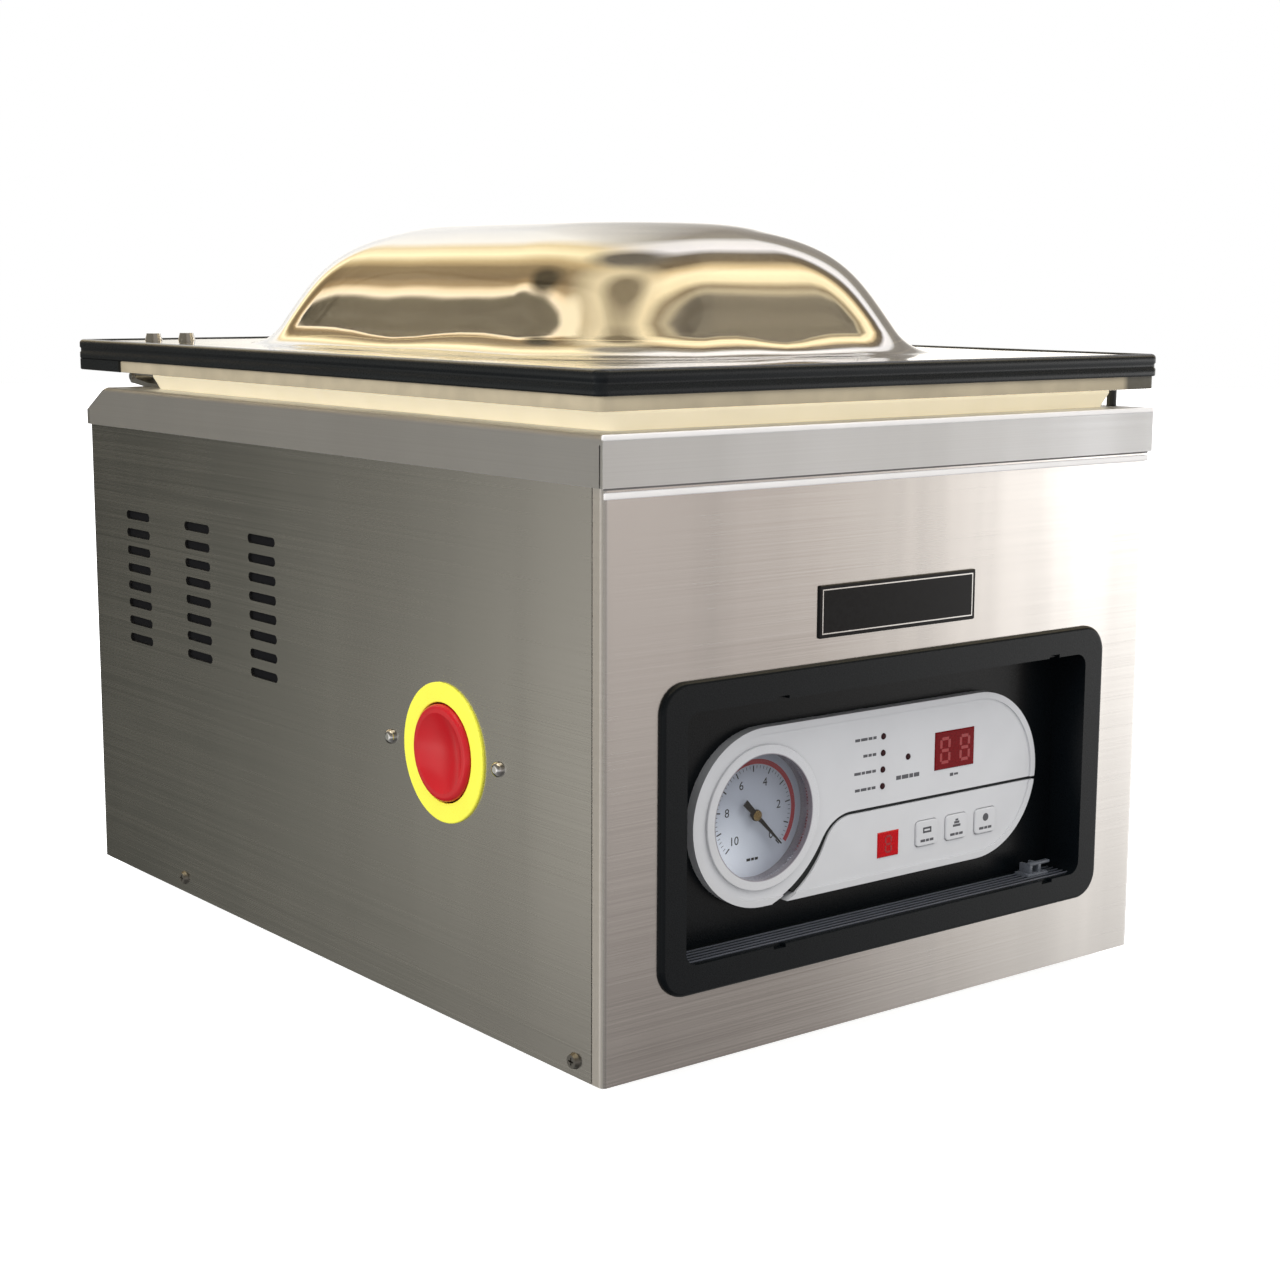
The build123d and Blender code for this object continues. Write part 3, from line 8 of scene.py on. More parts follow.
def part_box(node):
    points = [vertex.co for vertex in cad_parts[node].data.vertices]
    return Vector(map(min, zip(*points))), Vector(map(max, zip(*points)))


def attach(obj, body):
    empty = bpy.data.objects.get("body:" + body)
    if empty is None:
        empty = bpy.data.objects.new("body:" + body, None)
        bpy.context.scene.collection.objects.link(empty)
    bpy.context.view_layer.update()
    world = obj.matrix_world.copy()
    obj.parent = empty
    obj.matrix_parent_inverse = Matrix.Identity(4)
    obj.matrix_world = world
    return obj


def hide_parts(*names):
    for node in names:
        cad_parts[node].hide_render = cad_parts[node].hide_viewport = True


# Looks of a tabletop vacuum chamber sealer, built around its CAD frame.  Metres, +Z up,
# -Y is the machine's front.  The lid's dome is remade here as a fine smooth mesh, small
# printed and fitted details are added, and every surface gets its own procedural look.

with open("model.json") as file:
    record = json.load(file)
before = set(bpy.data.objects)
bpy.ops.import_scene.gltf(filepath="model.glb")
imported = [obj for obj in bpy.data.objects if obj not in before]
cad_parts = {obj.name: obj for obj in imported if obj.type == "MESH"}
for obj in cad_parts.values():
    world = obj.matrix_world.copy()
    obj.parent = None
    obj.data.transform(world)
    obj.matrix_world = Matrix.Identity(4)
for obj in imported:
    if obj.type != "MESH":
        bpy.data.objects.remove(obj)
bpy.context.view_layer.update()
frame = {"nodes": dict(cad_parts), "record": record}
NODES = frame["nodes"]
MM = 0.001


# ---- places from the frame
def centre(node):
    low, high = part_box(node)
    return (low + high) / 2


def mm(*values):
    """Lengths given in millimetres."""
    return [value * MM for value in values]


DIAL_LOW, DIAL_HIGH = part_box("gauge_dial")
DIAL_CENTRE = (DIAL_LOW + DIAL_HIGH) / 2
DIAL_RADIUS = (DIAL_HIGH.x - DIAL_LOW.x) / 2
DIAL_FACE_Y = DIAL_LOW.y


# ---- material building
NOISE_LOW, NOISE_HIGH = 0.3, 0.7  # between which most of a noise's values lie
MIX_SOCKETS = {"VECTOR": (0, 4, 5, 1), "RGBA": (0, 6, 7, 2)}  # factor, two inputs, output
ODD_SOCKETS = {"ior": "IOR", "specular": "Specular IOR Level"}


class Nodes:
    """The node tree of a material or world, with short calls for the nodes used here."""

    def __init__(self, owner):
        owner.use_nodes = True
        self.tree = owner.node_tree
        self.tree.nodes.clear()

    def feed(self, socket, value):
        """Gives a socket a number, vector or colour, or joins an output to it."""
        if isinstance(value, (int, float, Vector)):
            socket.default_value = value
        elif isinstance(value, tuple):
            socket.default_value = (*value[:3], 1.0)
        else:
            self.tree.links.new(value, socket)

    def node(self, kind, inputs=None, **settings):
        """A new node with its settings made and inputs fed, by name or number."""
        made = self.tree.nodes.new("ShaderNode" + kind)
        for name, value in settings.items():
            setattr(made, name, value)
        for key, value in (inputs or {}).items():
            self.feed(made.inputs[key], value)
        return made

    def math(self, operation, first, second=0.0):
        inputs = {0: first, 1: second}
        return self.node("Math", inputs, operation=operation).outputs[0]

    def split(self, vector):
        """The three parts of a vector."""
        return self.node("SeparateXYZ", {0: vector}).outputs

    def distance(self, vector, place):
        inputs = {0: vector, 1: place}
        return self.node("VectorMath", inputs, operation="DISTANCE").outputs["Value"]

    def span(self, source, low, high, start=0.0, end=1.0):
        """A value's range low..high carried over to start..end."""
        inputs = {"Value": source, "From Min": low, "From Max": high}
        inputs.update({"To Min": start, "To Max": end})
        return self.node("MapRange", inputs).outputs["Result"]

    def mix(self, factor, first, second, kind="RGBA", blend="MIX"):
        """Between two colours or vectors."""
        share, one, other, output = MIX_SOCKETS[kind]
        inputs = {share: factor, one: first, other: second}
        made = self.node("Mix", inputs, data_type=kind, blend_type=blend)
        return made.outputs[output]

    def stops(self, source, positions, colours):
        """Colours at positions between 0 and 1 of a source."""
        made = self.node("ValToRGB", {"Fac": source})
        elements = made.color_ramp.elements
        while len(elements) < len(colours):
            elements.new(0.5)
        for element, position, colour in zip(elements, positions, colours):
            element.position = position
            element.color = (*colour[:3], 1.0)
        return made.outputs["Color"]


class Finish(Nodes):
    """One material with its shader."""

    def __init__(self, name):
        self.material = bpy.data.materials.new(name)
        super().__init__(self.material)
        self.shader = self.node("BsdfPrincipled")
        self.node("OutputMaterial", {"Surface": self.shader.outputs["BSDF"]})
        self.place = self.node("TexCoord").outputs["Object"]

    def set(self, **values):
        """Constants or outputs for the shader: set(base_color=..., coat_weight=...)."""
        for name, value in values.items():
            socket = ODD_SOCKETS.get(name) or name.replace("_", " ").title()
            self.feed(self.shader.inputs[socket], value)

    def stretch(self, x, y, z):
        """The place on the piece, with each axis scaled."""
        inputs = {"Scale": Vector((x, y, z)), "Vector": self.place}
        return self.node("Mapping", inputs).outputs["Vector"]

    def noise(self, scale, detail=2.0, roughness=0.5, place=None, distortion=0.0):
        inputs = {"Scale": scale, "Detail": detail, "Roughness": roughness}
        inputs.update({"Distortion": distortion, "Vector": place or self.place})
        return self.node("TexNoise", inputs).outputs["Fac"]

    def ramp(self, source, colours, low=NOISE_LOW, high=NOISE_HIGH):
        """Colours spread evenly over the range low..high of a value."""
        positions = [i / (len(colours) - 1) for i in range(len(colours))]
        return self.stops(self.span(source, low, high), positions, colours)

    def tints(self, source, colour, dark, light):
        """A colour that goes with a noise from a darker to a lighter tint."""
        return self.ramp(source, [tint(colour, dark), tint(colour, light)])

    def uneven(self, source, start, end):
        """A number that goes with a noise from start to end."""
        return self.span(source, NOISE_LOW, NOISE_HIGH, start, end)

    def relief(self, height, depth, strength=1.0):
        """Bump of a real depth in metres."""
        inputs = {"Distance": depth, "Strength": strength, "Height": height}
        bump = self.node("Bump", inputs).outputs["Normal"]
        self.feed(self.shader.inputs["Normal"], bump)


def tint(colour, factor):
    return tuple(min(1.0, channel * factor) for channel in colour[:3])


STEEP = 0.7  # part of a face's normal along an axis beyond which it counts as facing it
GRAIN_ALONG = 4.0  # scale of the grinding lines along their length
PAINTED_STREAK_SHADE = 0.55  # darkness of the painted streaks against the sheet, which stand in for upright reflections
FLANGE_PAINTED_LIGHT = 1.43  # paleness painted on the folded flanges against the sheet, for the light that they catch


def brushed(
    name, colour, roughness, anisotropic=0.6, lines=1500.0, depth=0.00004, streaks=0.0, fold=0.0
):
    """Sheet ground in one direction: lines run level on upright faces, along X on decks.

    Streaks are soft upright darker bands, painted shade that stands in for reflections on a
    large sheet; fold is the extra roughness of flanges folded back along the sides, which are
    duller, and their paler colour is painted light.
    """
    look = Finish(name)
    normal = look.split(look.node("NewGeometry").outputs["Normal"])
    is_deck = look.math("GREATER_THAN", look.math("ABSOLUTE", normal["Z"]), STEEP)
    upright = look.stretch(GRAIN_ALONG, GRAIN_ALONG, lines)
    deck = look.stretch(GRAIN_ALONG, lines, GRAIN_ALONG)
    grain = look.noise(1.0, 3.0, 0.6, look.mix(is_deck, upright, deck, "VECTOR"))
    cloud = look.noise(7.0, 3.0, 0.55)
    fine = look.tints(grain, colour, 0.93, 1.05)
    body = look.mix(0.5, fine, look.tints(cloud, colour, 0.95, 1.02))
    spread = look.uneven(grain, roughness - 0.05, roughness + 0.05)
    rough = look.math("ADD", spread, look.uneven(cloud, -0.03, 0.03))
    if streaks:
        # painted shade: soft upright darker bands in place of reflections
        marks = look.noise(1.0, 2.0, 0.5, look.stretch(26.0, 16.0, 1.6), 0.4)
        shade = look.span(marks, 0.42, 0.72, 0.0, streaks)
        body = look.mix(shade, body, tint(colour, PAINTED_STREAK_SHADE))
        rough = look.math("ADD", rough, look.uneven(marks, -0.02, 0.04))
    if fold:
        flange = look.math("GREATER_THAN", look.math("ABSOLUTE", normal["X"]), STEEP)
        rough = look.math("ADD", rough, look.math("MULTIPLY", flange, fold))
        # painted light: the flanges are made paler
        body = look.mix(flange, body, tint(colour, FLANGE_PAINTED_LIGHT))
    look.set(base_color=body, roughness=rough)
    look.set(metallic=1.0, anisotropic=anisotropic, anisotropic_rotation=0.25)
    look.relief(grain, depth, 0.35)
    return look.material


def metal(name, colour, roughness, wear=0.04):
    """Machined, plated or drawn metal with faint cloudy unevenness."""
    look = Finish(name)
    fine = look.noise(300.0, 3.0)
    cloud = look.noise(25.0, 2.0)
    rough = look.uneven(fine, max(0.02, roughness - wear), roughness + wear)
    look.set(base_color=look.tints(cloud, colour, 0.92, 1.04), roughness=rough, metallic=1.0)
    look.relief(fine, 0.00002, 0.3)
    return look.material


def moulded(
    name, colour, roughness, grain=2500.0, depth=0.00005, coat=0.0, mottle=0.06, specular=0.5,
    glow=0.0,
):
    """Moulded plastic or rubber: fine surface grain, slight colour unevenness.

    Painted glow makes the piece give off light of its own colour, in place of light bounced onto
    it.
    """
    look = Finish(name)
    fine = look.noise(grain, 2.0)
    cloud = look.noise(60.0, 2.0)
    rough = look.uneven(fine, max(0.03, roughness - 0.05), roughness + 0.05)
    look.set(base_color=look.tints(cloud, colour, 1 - mottle, 1 + mottle), roughness=rough)
    look.set(coat_weight=coat, coat_roughness=0.08, specular=specular)
    if glow:
        look.set(emission_color=colour, emission_strength=glow)
    look.relief(fine, depth, 0.4)
    return look.material


def clear(name, colour, roughness, waviness, depth, ior=1.49, mirror=0.0):
    """Clear plastic or glass with a faint long wave; mirror is a metallic share, which with a warm
    tint gives painted bronze reflections.
    """
    look = Finish(name)
    wave = look.noise(waviness, 1.0)
    dust = look.noise(900.0, 3.0)
    rough = look.span(dust, 0.45, 0.75, roughness, roughness + 0.03)
    look.set(base_color=look.tints(wave, colour, 0.97, 1.0), roughness=rough)
    look.set(transmission_weight=1.0, ior=ior, metallic=mirror)
    look.relief(wave, depth, 1.0)
    return look.material


def sawn_plastic(name, lit, unlit, end_x):
    """Sawn edge of clear plastic: painted light where the cream gasket shows through, painted
    shade beyond it.
    """
    look = Finish(name)
    beyond = look.span(look.split(look.place)["X"], end_x, end_x + 4 * MM)
    pale = look.tints(look.noise(60.0, 2.0), lit, 0.9, 1.1)
    saw = look.noise(700.0, 2.0)
    look.set(base_color=look.mix(beyond, pale, unlit), roughness=look.uneven(saw, 0.45, 0.55))
    look.relief(saw, 0.0001, 0.4)
    return look.material


def circuit(name):
    """Solder-masked board with darker copper runs under the mask."""
    look = Finish(name)
    inputs = {"Vector": look.place, "Scale": 220.0, "Mortar Size": 0.03}
    inputs.update({"Color1": (0.02, 0.16, 0.06), "Color2": (0.025, 0.2, 0.08)})
    inputs["Mortar"] = (0.05, 0.32, 0.14)
    cells = look.node("TexBrick", inputs).outputs
    rough = look.uneven(look.noise(400.0), 0.25, 0.4)
    look.set(base_color=cells["Color"], roughness=rough)
    look.relief(cells["Fac"], 0.00005)
    return look.material


def woven(name, colour):
    """Coated glass cloth: a fine plain weave."""
    look = Finish(name)
    inputs = {"Scale": 400.0, "Vector": look.place}
    waves = [
        look.node("TexWave", inputs, bands_direction=way).outputs["Fac"] for way in "XY"
    ]
    height = look.math("MULTIPLY", *waves)
    look.set(base_color=look.ramp(height, [tint(colour, 0.75), tint(colour, 1.1)], 0, 1))
    look.set(roughness=look.span(height, 0, 1, 0.35, 0.5))
    look.relief(height, 0.0001)
    return look.material


# Painted light on the dial, palest at its lower left and darker across from it.
DIAL_PAINTED_SHADING = [(0.88, 0.91, 0.98), (0.60, 0.64, 0.74), (0.42, 0.45, 0.54)]


def dial_print(name):
    """Printed dial: satin silver-blue, with painted light that is palest and glows faintly at its
    lower left.
    """
    look = Finish(name)
    painted_light_spot = DIAL_CENTRE + Vector((-0.7, 0, -0.7)) * DIAL_RADIUS
    across = look.distance(look.place, painted_light_spot)
    grain = look.noise(1500.0)
    shade = look.ramp(across, DIAL_PAINTED_SHADING, 0.0, 1.9 * DIAL_RADIUS)
    body = look.mix(look.uneven(grain, 0.0, 0.08), shade, (0.5, 0.5, 0.55))
    glow = look.span(across, 0.2 * DIAL_RADIUS, DIAL_RADIUS, 0.25, 0.0)
    look.set(base_color=body, roughness=look.uneven(grain, 0.35, 0.5))
    look.set(emission_color=(0.85, 0.9, 1.0), emission_strength=glow)
    return look.material


def gauge_shell(name):
    """Gauge case: flange matches the panel; the wall inside the rim is darker grey, partly its own
    colour, partly painted shade.
    """
    look = Finish(name)
    parts = look.split(look.place)
    across = look.math("SUBTRACT", parts["X"], DIAL_CENTRE.x)
    upward = look.math("SUBTRACT", parts["Z"], DIAL_CENTRE.z)
    squares = [look.math("POWER", part, 2.0) for part in (across, upward)]
    reach = look.math("SQRT", look.math("ADD", *squares))
    rim = look.span(reach, DIAL_RADIUS + 0.2 * MM, DIAL_RADIUS + 0.6 * MM)
    cloud = look.noise(60.0)
    # painted shade of the recess, on top of the wall's own grey
    wall = look.ramp(cloud, [(0.24, 0.22, 0.25), (0.30, 0.28, 0.31)])
    flange = look.tints(cloud, PANEL_GREY, 0.98, 1.02)
    fine = look.noise(2600.0)
    look.set(base_color=look.mix(rim, wall, flange), roughness=look.uneven(fine, 0.24, 0.34))
    look.set(coat_weight=0.2, coat_roughness=0.08)
    look.relief(fine, 0.00002, 0.4)
    return look.material


def window_red(name, colour):
    """Tinted display window with a faint raster behind its gloss."""
    look = Finish(name)
    raster = look.noise(1200.0, 1.0)
    look.set(base_color=look.tints(raster, colour, 0.8, 1.15))
    look.set(roughness=look.uneven(raster, 0.12, 0.2), specular=0.12)
    return look.material


PANEL_GREY = (0.64, 0.645, 0.66)
MATERIALS = {}


def add(build, slot, *values, **more):
    """Makes the finish of one material slot."""
    MATERIALS[slot] = build(slot, *values, **more)


add(brushed, "stainless_sheet", (0.62, 0.605, 0.58), 0.23, streaks=0.16)
add(brushed, "polished_stainless", (0.72, 0.71, 0.69), 0.16, 0.3, lines=700.0, depth=0.00002)
add(metal, "bright_steel", (0.78, 0.77, 0.75), 0.18)
add(metal, "chrome_plate", (0.86, 0.86, 0.87), 0.08)
add(brushed, "hinge_steel", (0.58, 0.57, 0.55), 0.35, 0.4, lines=900.0)
add(brushed, "anodised_aluminium", (0.76, 0.77, 0.78), 0.38, 0.3, lines=1200.0, depth=0.00002)
add(metal, "nichrome", (0.52, 0.48, 0.43), 0.35)
add(metal, "brass_body", (0.78, 0.58, 0.27), 0.28)
add(moulded, "black_rubber", (0.011, 0.0135, 0.0145), 0.75, 1500.0, 0.0001)
add(moulded, "hose_rubber", (0.03, 0.03, 0.03), 0.6, 1200.0, 0.0001)
add(moulded, "black_trim", (0.007, 0.009, 0.011), 0.30, 1800.0, 0.00004, specular=0.35)
# painted light: the cream gasket gives off light, in place of light bounced up from the deck
add(moulded, "cream_silicone", (0.95, 0.84, 0.60), 0.42, 900.0, 0.00006, mottle=0.05, glow=0.4)
add(moulded, "red_silicone", (0.55, 0.10, 0.05), 0.45, 900.0, 0.00006)
# painted reflection: the lid's warm tint and mirror share give its bronze look
add(clear, "clear_acrylic", (0.88, 0.825, 0.715), 0.03, 14.0, 0.0004, mirror=0.4)
add(clear, "clear_lens", (0.97, 0.985, 0.99), 0.01, 30.0, 0.00001, ior=1.45)
add(moulded, "white_polyethylene", (0.70, 0.70, 0.68), 0.5, 700.0, 0.00012)
add(moulded, "brown_phenolic", (0.20, 0.09, 0.04), 0.45)
add(woven, "ptfe_tape", (0.46, 0.31, 0.16))
add(moulded, "black_plastic", (0.003, 0.0045, 0.006), 0.30, 2600.0, 0.00005, specular=0.22)
add(moulded, "white_plastic", (0.78, 0.78, 0.75), 0.4)
add(moulded, "grey_panel", PANEL_GREY, 0.34, 2600.0, 0.00002, coat=0.1, mottle=0.02)
add(window_red, "red_window", (0.26, 0.006, 0.010))
add(circuit, "circuit_board")
add(gauge_shell, "gauge_grey")
add(dial_print, "dial_white")
add(moulded, "needle_black", (0.01, 0.01, 0.012), 0.4)
add(moulded, "black_gloss", (0.003, 0.003, 0.0035), 0.2, 900.0, 0.00001, specular=0.2)
add(moulded, "safety_yellow", (1.0, 0.95, 0.08), 0.3, 1600.0, 0.00002, coat=0.1, mottle=0.02)
add(moulded, "signal_red", (0.52, 0.012, 0.018), 0.22, 1600.0, 0.00002, 0.25, 0.05, 0.3)
add(moulded, "motor_paint", (0.10, 0.12, 0.15), 0.4, 900.0, 0.0001)
add(moulded, "pump_paint", (0.05, 0.08, 0.17), 0.4, 900.0, 0.0001)
add(moulded, "transformer_iron", (0.06, 0.055, 0.05), 0.45, 600.0, 0.0001)


# Nodes whose own finish differs from the rest of their slot.
NODE_MATERIALS = {
    # top_cover and front_panel are paler copies of the stainless sheet; their paler colour is
    # painted light
    "top_cover": brushed("cover_sheet_painted_light", (0.81, 0.82, 0.84), 0.50, streaks=0.08),
    "front_panel": brushed("front_sheet_painted_light", (0.70, 0.675, 0.65), 0.20, streaks=0.24, fold=0.22),
    "pan_head_screws": metal("dull_screws", (0.30, 0.29, 0.27), 0.4),
    "time_display": window_red("display_deep_red", (0.17, 0.004, 0.007)),
    "level_display": window_red("display_bright_red", (0.50, 0.004, 0.009)),
    "indicator_leds": window_red("unlit_leds", (0.035, 0.012, 0.014)),
    "lid_switch_plunger": moulded("plunger_plastic", (0.02, 0.02, 0.022), 0.4),
}


for part in frame["record"]["subparts"]:
    surface = NODES[part["node"]].data
    surface.materials.clear()
    usual = MATERIALS[part["material_slot"]]
    surface.materials.append(NODE_MATERIALS.get(part["node"], usual))
NODES["gauge_lens"].visible_shadow = False  # clear glass lets the light through to the dial


# ---- mesh building
OUTLINE_STRAIGHT = 10  # steps along each straight side of an outline
OUTLINE_ARC = 18  # steps round each of its corners


def finish_piece(
    name, mesh, slot, body="cabinet", replaces=(), smooth=True, sharp=35.0, material=None
):
    """Gives a mesh its object, shading, finish and body; the slot picks the finish when none is
    given.
    """
    piece = bpy.data.objects.new(name, mesh)
    bpy.context.scene.collection.objects.link(piece)
    for polygon in mesh.polygons:
        polygon.use_smooth = smooth
    if smooth:
        mesh.set_sharp_from_angle(angle=math.radians(sharp))
    mesh.materials.append(material or MATERIALS[slot])
    if replaces:
        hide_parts(*replaces)
    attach(piece, body)
    return piece


def polar(radius, turn):
    """A flat point at a radius from the origin, turned by some degrees."""
    angle = math.radians(turn)
    return Vector((math.cos(angle), math.sin(angle))) * radius


def rounded_outline(half_x, half_y, radius, centre_y):
    """Points of a rounded rectangle, anticlockwise from the middle of its +X side."""
    radius = min(radius, half_x, half_y)
    points = []
    corners = [(1, 1, 0), (-1, 1, 90), (-1, -1, 180), (1, -1, 270)]
    for sign_x, sign_y, start in corners:
        middle = Vector((sign_x * (half_x - radius), sign_y * (half_y - radius)))
        for step in range(OUTLINE_ARC + 1):
            points.append(middle + polar(radius, start + 90 * step / OUTLINE_ARC))
        after = points[-1]
        along = polar(1.0, start + 180)
        reach = half_x - radius if sign_x * sign_y > 0 else half_y - radius
        for step in range(1, OUTLINE_STRAIGHT):
            points.append(after + along * (2 * reach * step / OUTLINE_STRAIGHT))
    return [Vector((point.x, point.y + centre_y)) for point in points]


def mesh_from(build, name):
    bmesh.ops.recalc_face_normals(build, faces=build.faces)
    mesh = bpy.data.meshes.new(name)
    build.to_mesh(mesh)
    build.free()
    return mesh


def add_rows(build, rings, closed=True, looped=False):
    """Adds quads between rings of points; looped joins the last ring to the first."""
    rows = [[build.verts.new(point) for point in ring] for ring in rings]
    count = len(rows[0])
    for first, second in zip(rows, rows[1:] + rows[: 1 if looped else 0]):
        for i in range(count if closed else count - 1):
            j = (i + 1) % count
            build.faces.new((first[i], first[j], second[j], second[i]))
    return rows


# ---- the lid
PLATE_LOW, WINDOW_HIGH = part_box("lid_window")
PLATE_HALF_X = WINDOW_HIGH.x
PLATE_HALF_Y = (WINDOW_HIGH.y - PLATE_LOW.y) / 2
PLATE_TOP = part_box("lid_edge_band")[1].z
PLATE_CORNER = 3 * MM
DOME_HEIGHT = WINDOW_HIGH.z - PLATE_TOP
DOME_HALF_X = 115 * MM
DOME_HALF_Y = 164 * MM
DOME_Y = 4 * MM
DOME_CORNER = 63 * MM
DOME_DRAFT = 0.5  # inward lean of the wall against its height
DOME_SHOULDER = 50 * MM
SHOULDER_POWER = 5.5  # how late the wall rounds over into the crest
WALL_STEPS = 20  # rings up the wall
WALL_PART = 0.62  # part of the height that they cover
SHOULDER_STEPS = 24  # rings round the shoulder
CREST_SHARES = (0.75, 0.5, 0.25, 0.08)  # rings drawn in over the crest
PLATE_SHARES = (0.35, 0.7)  # rings between the plate's edge and the foot
DOME_WALL = 5 * MM
DOME_FOOT = 12 * MM  # radius where the dome flows out of the plate
FOOT_AT_CORNERS = 2.0  # how much larger that radius is round the corners
FOOT_RISE = 15 * MM  # height by which the rounding has met the wall everywhere
FOOT_STEPS = 8
FOOT_MARGIN = 3 * MM  # level strip round the rounding, which keeps the plate's shading flat
PLATE_Y = (PLATE_LOW.y + WINDOW_HIGH.y) / 2
BAND_REAR_Y = 190 * MM  # behind this the band covers the lid's full thickness
BAND_BOTTOM = PLATE_LOW.z + 6 * MM
BAND_OUT = 2 * MM
GASKET_END_X = 144 * MM  # where the gasket stops shining through the plate's front edge; the painted light on the edge gives way to painted shade


def dome_inset(part):
    """How far the dome's wall has leaned in at a part of its height."""
    lean = DOME_DRAFT * DOME_HEIGHT * part
    rounding = DOME_SHOULDER * (1 - math.sqrt(max(0.0, 1 - part**SHOULDER_POWER)))
    return lean + rounding


def dome_outline(inset):
    half_x = DOME_HALF_X - inset
    radius = min(DOME_CORNER, half_x - MM)
    return rounded_outline(half_x, DOME_HALF_Y - inset, radius, DOME_Y)


def raised(outline, height):
    return [Vector((point.x, point.y, height)) for point in outline]


def dome_parts():
    """Heights of the dome's rings, closer where it rounds over."""
    wall = [step / WALL_STEPS * WALL_PART for step in range(1, WALL_STEPS + 1)]
    rounding = []
    for step in range(1, SHOULDER_STEPS + 1):
        angle = math.radians(15 + 75 * step / SHOULDER_STEPS)
        rounding.append(math.sin(angle) ** (2 / SHOULDER_POWER))
    return wall + [part for part in rounding if part > WALL_PART + 0.02]


def foot_rings(base, rise):
    """Rings of the rounding between plate and wall, which meets the wall below a rise."""
    start = dome_outline(0.0)
    above = dome_outline(dome_inset(rise / DOME_HEIGHT))
    rings = [[] for _ in range(FOOT_STEPS + 2)]
    for point, higher in zip(start, above):
        lean = point - higher
        outward = lean.normalized()
        wall_angle = math.atan2(rise, lean.length)
        corner = (2 * outward.x * outward.y) ** 2
        radius = DOME_FOOT * (1 + (FOOT_AT_CORNERS - 1) * corner)
        reach = radius * math.tan(wall_angle / 2)
        place = point + outward * (reach + FOOT_MARGIN)
        rings[0].append(Vector((place.x, place.y, base)))
        for step in range(FOOT_STEPS + 1):
            angle = wall_angle * step / FOOT_STEPS
            place = point + outward * (reach - radius * math.sin(angle))
            rise_here = radius * (1 - math.cos(angle))
            rings[step + 1].append(Vector((place.x, place.y, base + rise_here)))
    return rings


def dome_rings(base, wall):
    """Rings of the dome's surface from its foot to its crest, drawn in by a wall."""
    height = DOME_HEIGHT - wall
    if wall == 0:
        first_rise = FOOT_RISE
        rings = foot_rings(base, first_rise)
    else:
        rings = [raised(dome_outline(wall), base)]
        first_rise = MM
    for part in dome_parts():
        rise = height * part
        if rise > first_rise:
            rings.append(raised(dome_outline(dome_inset(part) + wall), base + rise))
    crest = rings[-1]
    middle = Vector((0, DOME_Y, crest[0].z))
    for share in CREST_SHARES:
        rings.append([middle + (point - middle) * share for point in crest])
    return rings


def make_lid_window():
    plate = plate_outline(0.0)
    bottom = PLATE_LOW.z
    outer_low = raised(plate, bottom)
    outer_high = raised(plate, PLATE_TOP)
    outer = dome_rings(PLATE_TOP, 0.0)
    inner = dome_rings(PLATE_TOP, DOME_WALL)
    opening = raised(dome_outline(DOME_WALL), bottom)
    between = [
        [a.lerp(b, share) for a, b in zip(outer_high, outer[0])] for share in PLATE_SHARES
    ]
    build = bmesh.new()
    top = add_rows(build, [outer_low, outer_high, *between, *outer])
    build.faces.new(top[-1])
    under = add_rows(build, [outer_low, opening, *inner])
    build.faces.new(under[-1])
    bmesh.ops.remove_doubles(build, verts=build.verts, dist=1e-7)
    mesh = mesh_from(build, "lid_window_clear")
    replaced = ["lid_window"]
    window = finish_piece("lid_window_clear", mesh, "clear_acrylic", "lid", replaced, sharp=40)
    window.visible_shadow = False  # clear plastic lets the light through to the gasket


def plate_outline(out):
    """Outline of the lid's plate, moved outwards."""
    return rounded_outline(PLATE_HALF_X + out, PLATE_HALF_Y + out, PLATE_CORNER + out, PLATE_Y)


REAR_POINTS = 2 * (OUTLINE_ARC + 1) + OUTLINE_STRAIGHT - 1  # both rear corners and between


def rear_path(out):
    """The part of the plate's outline behind the band's step, as an open run."""
    side = PLATE_HALF_X + out
    rest = plate_outline(out)[:REAR_POINTS]
    return [Vector((side, BAND_REAR_Y)), *rest, Vector((-side, BAND_REAR_Y))]


def front_path(out):
    """The rest of the plate's outline: down the left side, across the front, up the right."""
    side = PLATE_HALF_X + out
    rest = [point for point in plate_outline(out)[REAR_POINTS:] if point.y < BAND_REAR_Y]
    return [Vector((-side, BAND_REAR_Y)), *rest, Vector((side, BAND_REAR_Y))]


def add_sweep(build, path, profile, closed):
    """Adds a solid swept along a path; its profile has (outward, height) points."""
    rings = [raised(path(out), height) for out, height in profile]
    rows = add_rows(build, rings, closed, looped=True)
    if not closed:
        build.faces.new([row[0] for row in rows])
        build.faces.new([row[-1] for row in rows])


def make_edge_band():
    """Rubber channel round the lid: lip on the plate, rounded edges, a groove on its face."""
    low = BAND_BOTTOM / MM
    top = PLATE_TOP / MM
    middle = (low + top) / 2
    out = BAND_OUT / MM
    profile = [
        (0.0, low), (out - 0.7, low), (out - 0.2, low + 0.2), (out, low + 0.8),
        (out, middle - 1.6), (out - 0.55, middle - 0.9), (out - 0.55, middle + 0.7),
        (out, middle + 1.4), (out, top - 1.4), (out - 0.3, top - 0.5), (out - 1.0, top + 0.2),
        (out - 1.9, top + 0.5), (-2.4, top + 0.5), (-2.9, top + 0.3), (-3.0, top + 0.02),
        (0.0, top + 0.01),
    ]
    build = bmesh.new()
    add_sweep(build, plate_outline, [mm(*point) for point in profile], True)
    foot = PLATE_LOW.z / MM
    rear = [
        (0.0, foot), (out - 0.8, foot), (out - 0.2, foot + 0.3), (out - 0.05, foot + 0.9),
        (out - 0.05, low), (0.0, low),
    ]
    add_sweep(build, rear_path, [mm(*point) for point in rear], False)
    channel = mesh_from(build, "channel")
    finish_piece("lid_edge_channel", channel, "black_trim", "lid", ["lid_edge_band"], sharp=50)


